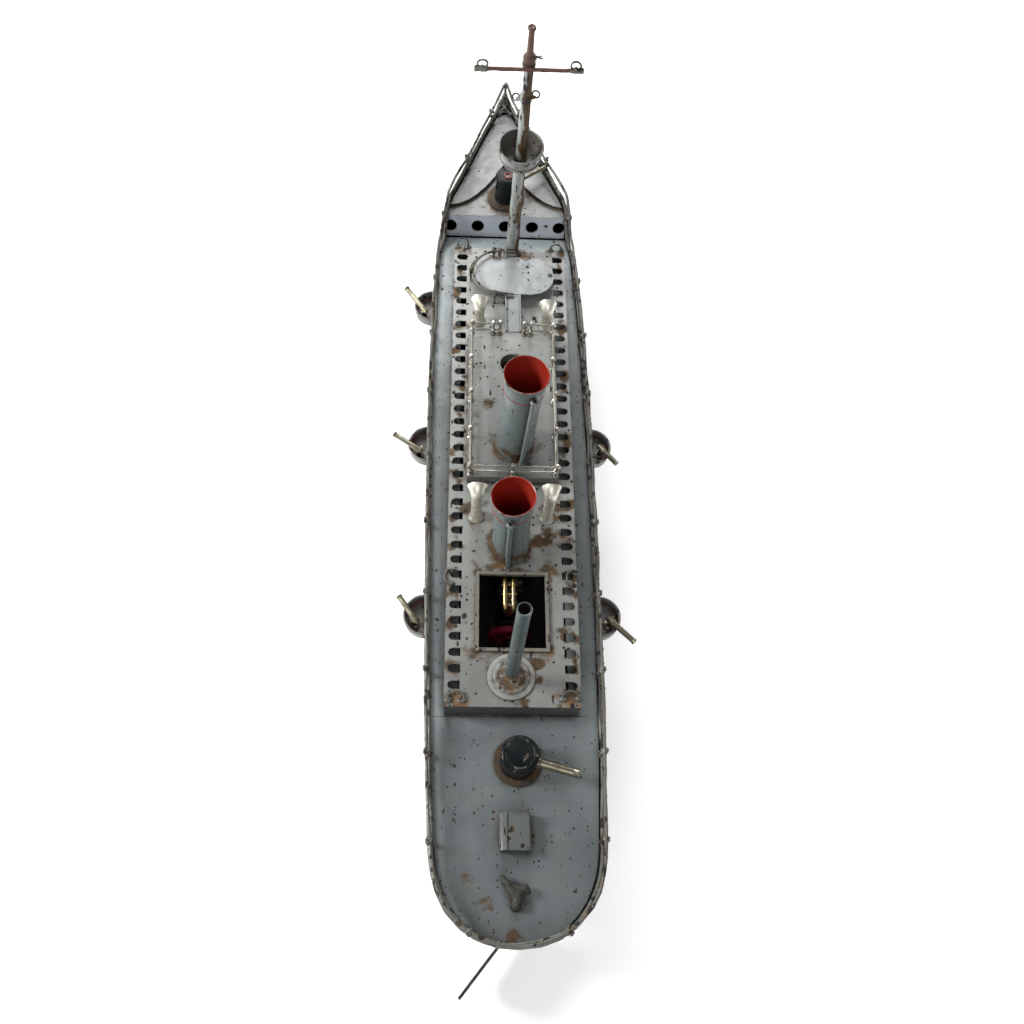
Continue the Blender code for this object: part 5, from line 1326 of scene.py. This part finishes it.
def build_bridge_rail():
    """The bent wires round the port half of the bridge, with the solder that holds them."""
    low, high = seat_box("bridge_rail")
    radius = (high.y - low.y) / 2 - 0.9
    middle_y = (high.y + low.y) / 2
    bend_x = low.x + 0.9 + radius
    base = seat_box("bridge_platform")[1].z
    shape = Shape()
    for seed, lift, spread, start in ((1.0, 1.6, 0.6, 9.0), (5.0, 3.4, -1.0, 12.0)):
        r = radius + spread
        points = [seated(bend_x + start, middle_y + r, base + lift)]
        for i in range(25):
            angle = math.pi / 2 + math.pi * i / 24
            points.append(seated(bend_x + r * math.cos(angle), middle_y + r * math.sin(angle), base + lift))
        points.append(seated(high.x + 1, middle_y - r, base + lift - 1.2))
        wire(shape, points, 2, 0.7, 0.7, 45.0, seed, rough=0.15)
    for degrees in (88, 100, 178, 262):
        turn = math.radians(degrees)
        x, y = bend_x + radius * math.cos(turn), middle_y + radius * math.sin(turn)
        top = seated(x, y, base + 4.2)
        wire(shape, [seated(x, y, low.z), top], 2, 0.75, 0.3, 120.0, sides=7, rough=0.2)
        blob(shape, top, 1.6, rough=0.6)
        blob(shape, seated(x, y, base + 1.6), 1.5, rough=0.6)
    shape.piece("bridge_wires", "superstructure", "rail", "bridge_rail")
    shape = Shape()
    right_x = seat_box("bridge_platform")[1].x
    for x, y in ((right_x - 3, middle_y + 1), (bend_x + 12, middle_y + radius - 1)):
        blob(shape, seated(x, y, base + 0.4), 1.5, stretch=(1, 1, 0.7), rough=0.6)
    lump = seated(bend_x + 9, middle_y + radius, base + 0.6)
    blob(shape, lump, 2.6, stretch=(1.6, 0.9, 0.7), rough=0.7)
    shape.piece("bridge_solder", "superstructure", "rail")


def build_lifting_loops():
    """The wire staples for lifting the superstructure off, two at each end and two amidships."""
    low, high = seat_box("superstructure_deck")
    fore, aft, amidships = (3.9, 5.4, 0.0), (4.6, 3.6, 0.0), (4.6, 3.6, math.pi / 2 - 0.2)
    staples = [
        (low.x + 6.0, high.y + 0.2, 0.25, fore), (high.x - 6.6, high.y, -0.2, fore),
        (low.x + 7.0, low.y + 4.0, 1.3, aft), (high.x - 6.6, low.y + 5.0, 1.35, aft),
        (low.x + 3.6, -90, 1.45, amidships), (high.x - 2.0, -90, 1.2, amidships),
    ]
    shape = Shape()
    for i, (x, y, lean, (wide, tall, turn)) in enumerate(staples):
        side = Vector((math.cos(turn), math.sin(turn), 0))
        up = Vector((-math.sin(turn) * math.sin(lean), math.cos(turn) * math.sin(lean), math.cos(lean)))
        points = []
        for k in range(19):
            angle = -0.35 + (math.pi + 0.7) * k / 18
            step = side * math.cos(angle) * wide + up * (math.sin(angle) + 0.35) * tall
            points.append(seated(*(Vector((x, y, 0.7)) + step)))
        tube(shape, kinked(points, 0.35, 120.0, i), 0.62, sides=8, rough=0.12)
        for end in (points[0], points[-1]):
            blob(shape, end - mm(0, 0, 0.2), 1.5, stretch=(1.5, 1.1, 0.5), rough=0.6)
    shape.piece("lifting_loops", "superstructure", "rail")


def build_uptake_rim():
    """The rim of the hole through the boat deck, ahead of the front funnel."""
    lid = [SEAT.inverted() @ Vector(p) for p in vertices("boat_deck")]
    foot = SEAT.inverted() @ ring_at("front_funnel")[0]
    top = max(p.z for p in lid) - 0.5 * MM
    hole = [p for p in lid if p.z > top and abs(p.x) < 12 * MM and 45 * MM < p.y - foot.y < 85 * MM]
    centre = sum(hole, Vector()) / len(hole)
    radius = max((p - centre).length for p in hole) / MM + 0.5
    shape = Shape()
    hoop(shape, SEAT @ centre, radius, SEAT_RIGHT, SEAT_AHEAD, 30, 0.6, 0.25, 90.0, rough=0.15)
    shape.piece("uptake_rim", "superstructure", "mast_base")


# ---------------------------------------------------------------- fittings on the hull


def build_companion_hood():
    """The hood over the after companionway: one bent sheet with a ridge strip along its port edge."""
    low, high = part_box("companion_hood")
    sheet = 0.8
    width, depth, tall = (high - low) / MM
    outline = [
        (0.3, 0), (0.2, tall * 0.7), (0.9, tall - 0.7), (2.0, tall - 0.2), (4.4, tall - 0.1),
        (5.0, tall - 0.7),
        (5.8, tall - 0.9), (width - 2.4, tall - 0.3), (width - 1.0, tall - 0.9), (width - 0.4, tall - 2.2),
        (width, 0),
    ]
    inside = []
    for i, (x, z) in enumerate(outline):
        inward = sheet if i < 5 else -sheet if i > 7 else 0
        inside.append((x + inward, z - (sheet if 1 < i < 9 else 0)))
    loop = outline + inside[::-1]
    rows = 12
    places = []
    for k in range(rows + 1):
        for x, z in loop:
            spot = Vector((low.x, high.y, low.z)) + mm(x, -depth * k / rows, z)
            sag = 0.5 * MM * math.sin(math.pi * k / rows) * (z > tall * 0.5)
            spot += noise.noise_vector(spot * 120) * 0.35 * MM - Vector((0, 0, sag))
            spot.z = max(spot.z, low.z)
            places.append(spot)
    n = len(loop)
    ends = [tuple(range(n)), tuple(reversed(range(rows * n, rows * n + n)))]
    shape = Shape()
    shape.add(places, ends + grid_faces(rows + 1, n))
    m = len(outline)
    face = [p - mm(0, 0.4) for p in places[:m]]
    back = [p - mm(0, sheet) for p in face]
    shape.add(face + back, [tuple(range(m)), tuple(reversed(range(m, 2 * m)))] + grid_faces(2, m))
    shape.piece("companion_hood_sheet", "hull", "hood", "companion_hood", angle=30)


def cast_mesh(capsules):
    """A cast lump: capsules (start, end, start radius, end radius) fused and smoothed."""
    shape = Shape()
    steps = 8
    for start, end, r0, r1 in capsules:
        for k in range(steps + 1):
            blob(shape, start.lerp(end, k / steps), r0 + (r1 - r0) * k / steps, rough=0.1)
    mesh = bpy.data.meshes.new("cast")
    mesh.from_pydata(shape.places, [], shape.faces)
    obj = link("cast", mesh)
    fuse = obj.modifiers.new("fuse", "REMESH")
    fuse.mode = "VOXEL"
    fuse.voxel_size = 0.45 * MM
    obj.modifiers.new("ease", "SMOOTH").iterations = 4
    graph = bpy.context.evaluated_depsgraph_get()
    bpy.context.view_layer.update()
    made = obj.evaluated_get(graph).to_mesh()
    places = [v.co.copy() for v in made.vertices]
    faces = [tuple(p.vertices) for p in made.polygons]
    bpy.data.objects.remove(obj, do_unlink=True)
    return places, faces


def build_steering_handle():
    """The cast butterfly handle on its boss, and the arm that carries the link."""
    axis = pivot("steering_handle")
    low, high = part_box("steering_handle")
    top = (high.z - axis.z) / MM
    capsules = [  # start, end, start radius, end radius
        ((0, 0, -8), (0, 0, top - 2.0), 1.5, 2.0),
        ((0, 0, 0.8), (0, 0, 1.6), 3.4, 2.6),
        ((0.4, -0.6, top - 2.8), (1.4, 5.6, top - 2.8), 2.5, 2.7),
        ((0.4, 4.6, top - 2.6), (-5.8, 12.0, top - 2.2), 2.7, 2.2),
        ((-5.8, 12.0, top - 2.2), (-7.0, 14.2, top - 2.0), 2.2, 1.6),
        ((1.4, 6.2, top - 2.6), (5.6, 8.4, top - 2.4), 2.6, 2.3),
        ((5.6, 8.4, top - 2.4), (7.0, 6.6, top - 2.4), 2.0, 1.6),
        ((-3.4, 9.4, top - 2.6), (3.6, 7.6, top - 2.6), 2.0, 2.4),
    ]
    shape = Shape()
    shape.add(*cast_mesh([(axis + mm(*a), axis + mm(*b), r0, r1) for a, b, r0, r1 in capsules]))
    arm = pivot("steering_link")
    z = low.z + 1.2 * MM
    tube(shape, [Vector((axis.x, axis.y, z)), Vector((arm.x, arm.y, z))], 1.1, sides=10)
    shape.piece("steering_handle_cast", "steering_handle", "handle", "steering_handle", angle=70)


def build_flywheel():
    """The flywheel with a rounded rim, a hub and five arms."""
    low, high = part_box("flywheel")
    centre = (low + high) / 2
    r = (high.z - low.z) / 2 / MM
    rim = [
        (r - 3, -2.2), (r - 0.6, -2.4), (r, -1.7), (r, 1.7), (r - 0.6, 2.4), (r - 3, 2.2), (r - 3.6, 1.4),
        (r - 3.6, -1.4),
    ]
    hub = [(1.9, -3), (3.8, -3), (4.1, -2.4), (4.1, 2.4), (3.8, 3), (1.9, 3)]
    shape = Shape()
    turned(shape, rim, centre, FORWARD, 48, ring=True)
    turned(shape, hub, centre, FORWARD, 24, ring=True)
    for k in range(5):
        way = round_way(STARBOARD, UP, math.tau * k / 5 + 0.3)
        spots = [centre + way * reach * MM for reach in (3.6, 5, 7.5, r - 3.2)]
        tube(shape, spots, [1.5, 1.2, 1.1, 1.4], sides=8)
    shape.piece("flywheel_cast", "screw_shaft", "flywheel_red", "flywheel")


def build_deck_seam(edge):
    """The thin seam across the after deck."""
    y = (seat_box("superstructure_deck")[0].y - 22.2) * MM
    deck_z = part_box("main_deck")[1].z
    ends = [edge.at(Vector((0, y, 0)), STARBOARD * side).x - side * 2.4 * MM for side in (-1, 1)]
    shape = Shape()
    wire(shape, [Vector((x, y, deck_z)) for x in ends], 3, 0.20, 0.35, 60.0, sides=6)
    shape.piece("deck_seam", "hull", "walls")


def build_rudder_edge():
    """The thick top edge of the rudder's blade."""
    stock = pivot("rudder")
    far = farthest("rudder", stock, 1.0)
    tip = Vector((far[:, 0].mean(), far[:, 1].mean(), far[:, 2].max()))
    start = Vector((stock.x, stock.y, tip.z)).lerp(tip, 0.15)
    shape = Shape()
    tube(shape, resample([start, tip], 3), 0.9, sides=8, rough=0.1)
    shape.piece("rudder_top_edge", "rudder", "iron")


def build_engine_brasswork():
    """The two brass pipes and their cross-pieces that show through the hatch."""
    low, high = seat_box("hatch_coaming")
    middle = (low.x + high.x) / 2 - 1.2
    shape = Shape()
    for x in (-2.6, 2.6):
        path = ((-4, 7), (8, 7.5), (19, 9), (21, 12))  # aft of the coaming's fore edge, and down
        pipe = [seated(middle + x, high.y - aft, low.z - down) for aft, down in path]
        tube(shape, resample(pipe, 1.5), 1.5, sides=12)
    for aft in (5, 11):
        tube(shape, [seated(middle + x, high.y - aft, low.z - 8) for x in (-4.6, 4.6)], 0.8, sides=10)
    shape.piece("engine_brasswork", "hull", "engine_brass")


# ---------------------------------------------------------------- floor, light and camera


def build_floor():
    """A plain pale floor that glows a little, so that it stays near white."""
    mesh = bpy.data.meshes.new("floor")
    reach = 6.0
    corners = [(-reach, -reach, 0), (reach, -reach, 0), (reach, reach, 0), (-reach, reach, 0)]
    mesh.from_pydata(corners, [], [(0, 1, 2, 3)])
    s = Shader("pale_floor")
    s.set(base_color=(0.93, 0.93, 0.93), roughness=0.9)
    s.set(emission_color=(1.0, 1.0, 1.0), emission_strength=0.42)
    mesh.materials.append(FINISHES["pale_floor"])
    link("floor", mesh)


def build_world():
    """White to the camera, and a dim white light to everything else."""
    world = bpy.data.worlds.new("studio")
    bpy.context.scene.world = world
    world.use_nodes = True
    tree = world.node_tree
    background = tree.nodes["Background"]
    background.inputs["Color"].default_value = (1.0, 1.0, 1.0, 1.0)
    seen = tree.nodes.new("ShaderNodeLightPath")
    strength = tree.nodes.new("ShaderNodeMapRange")
    strength.inputs["To Min"].default_value = 0.30
    tree.links.new(seen.outputs["Is Camera Ray"], strength.inputs["Value"])
    tree.links.new(strength.outputs[0], background.inputs["Strength"])


def soft_light(name, place, target, size, power):
    light = bpy.data.lights.new(name, "AREA")
    light.size = size
    light.energy = power
    obj = link(name, light)
    obj.location = place
    aim = Vector(target) - Vector(place)
    obj.rotation_euler = aim.to_track_quat("-Z", "Y").to_euler()


def build_camera():
    """The view from above and astern, a little to port, with the camera rolled."""
    yaw, pitch, roll = math.radians(8.06), math.radians(62.52), math.radians(7.91)
    ahead = Vector((math.sin(yaw) * math.cos(pitch), math.cos(yaw) * math.cos(pitch), -math.sin(pitch)))
    right = Vector((math.cos(yaw), -math.sin(yaw), 0))
    up = right.cross(ahead)
    data = bpy.data.cameras.new("camera")
    data.sensor_width = 36.0
    data.lens = 35.99
    data.clip_start = 0.01
    camera = link("camera", data)
    turn = Matrix((round_way(right, up, roll), round_way(up, -right, roll), -ahead)).transposed().to_4x4()
    camera.matrix_world = Matrix.Translation((-0.0421, -0.36235, 0.6564)) @ turn
    bpy.context.scene.camera = camera


def build_all():
    """Every material and piece, from the hull up."""
    hull_paint()
    paint_decks()
    paint_superstructure()
    paint_funnels_and_masts()
    paint_fittings()
    make_metals()
    finish_nodes()
    edge = HullEdge()
    line = edge_line(edge)
    build_guard_rail(edge, line)
    build_hull_rim(line)
    build_jackstaff()
    build_hawse_arch()
    build_turrets()
    for name in nodes_named("gun_port", "gun_starboard"):
        build_side_gun(name)
    for name in nodes_named("sponson"):
        build_sponson(name)
    for end in ("front", "aft"):
        build_funnel(end)
    mast = Foremast()
    mast.build()
    mast.build_fighting_top()
    mast.build_topmast()
    mast.build_collar()
    mast.build_yard()
    build_aft_mast()
    for name in nodes_named("ventilator"):
        build_ventilator(name)
    build_deck_rail()
    build_bridge_rail()
    build_lifting_loops()
    build_companion_hood()
    build_steering_handle()
    build_flywheel()
    build_deck_seam(edge)
    build_uptake_rim()
    build_rudder_edge()
    build_engine_brasswork()


def build_studio():
    """Floor, world, three soft lights and the camera."""
    build_floor()
    build_world()
    soft_light("port_key", (-1.30, 0.05, 1.00), (0.0, -0.05, 0.08), 0.42, 22.0)
    soft_light("bow_fill", (-0.20, 1.15, 1.05), (0.0, 0.10, 0.08), 0.9, 17.0)
    soft_light("stern_fill", (-0.15, -1.30, 1.30), (0.0, 0.10, 0.08), 1.0, 6.0)
    build_camera()
    bpy.context.scene.view_settings.view_transform = "Standard"


build_all()
build_studio()
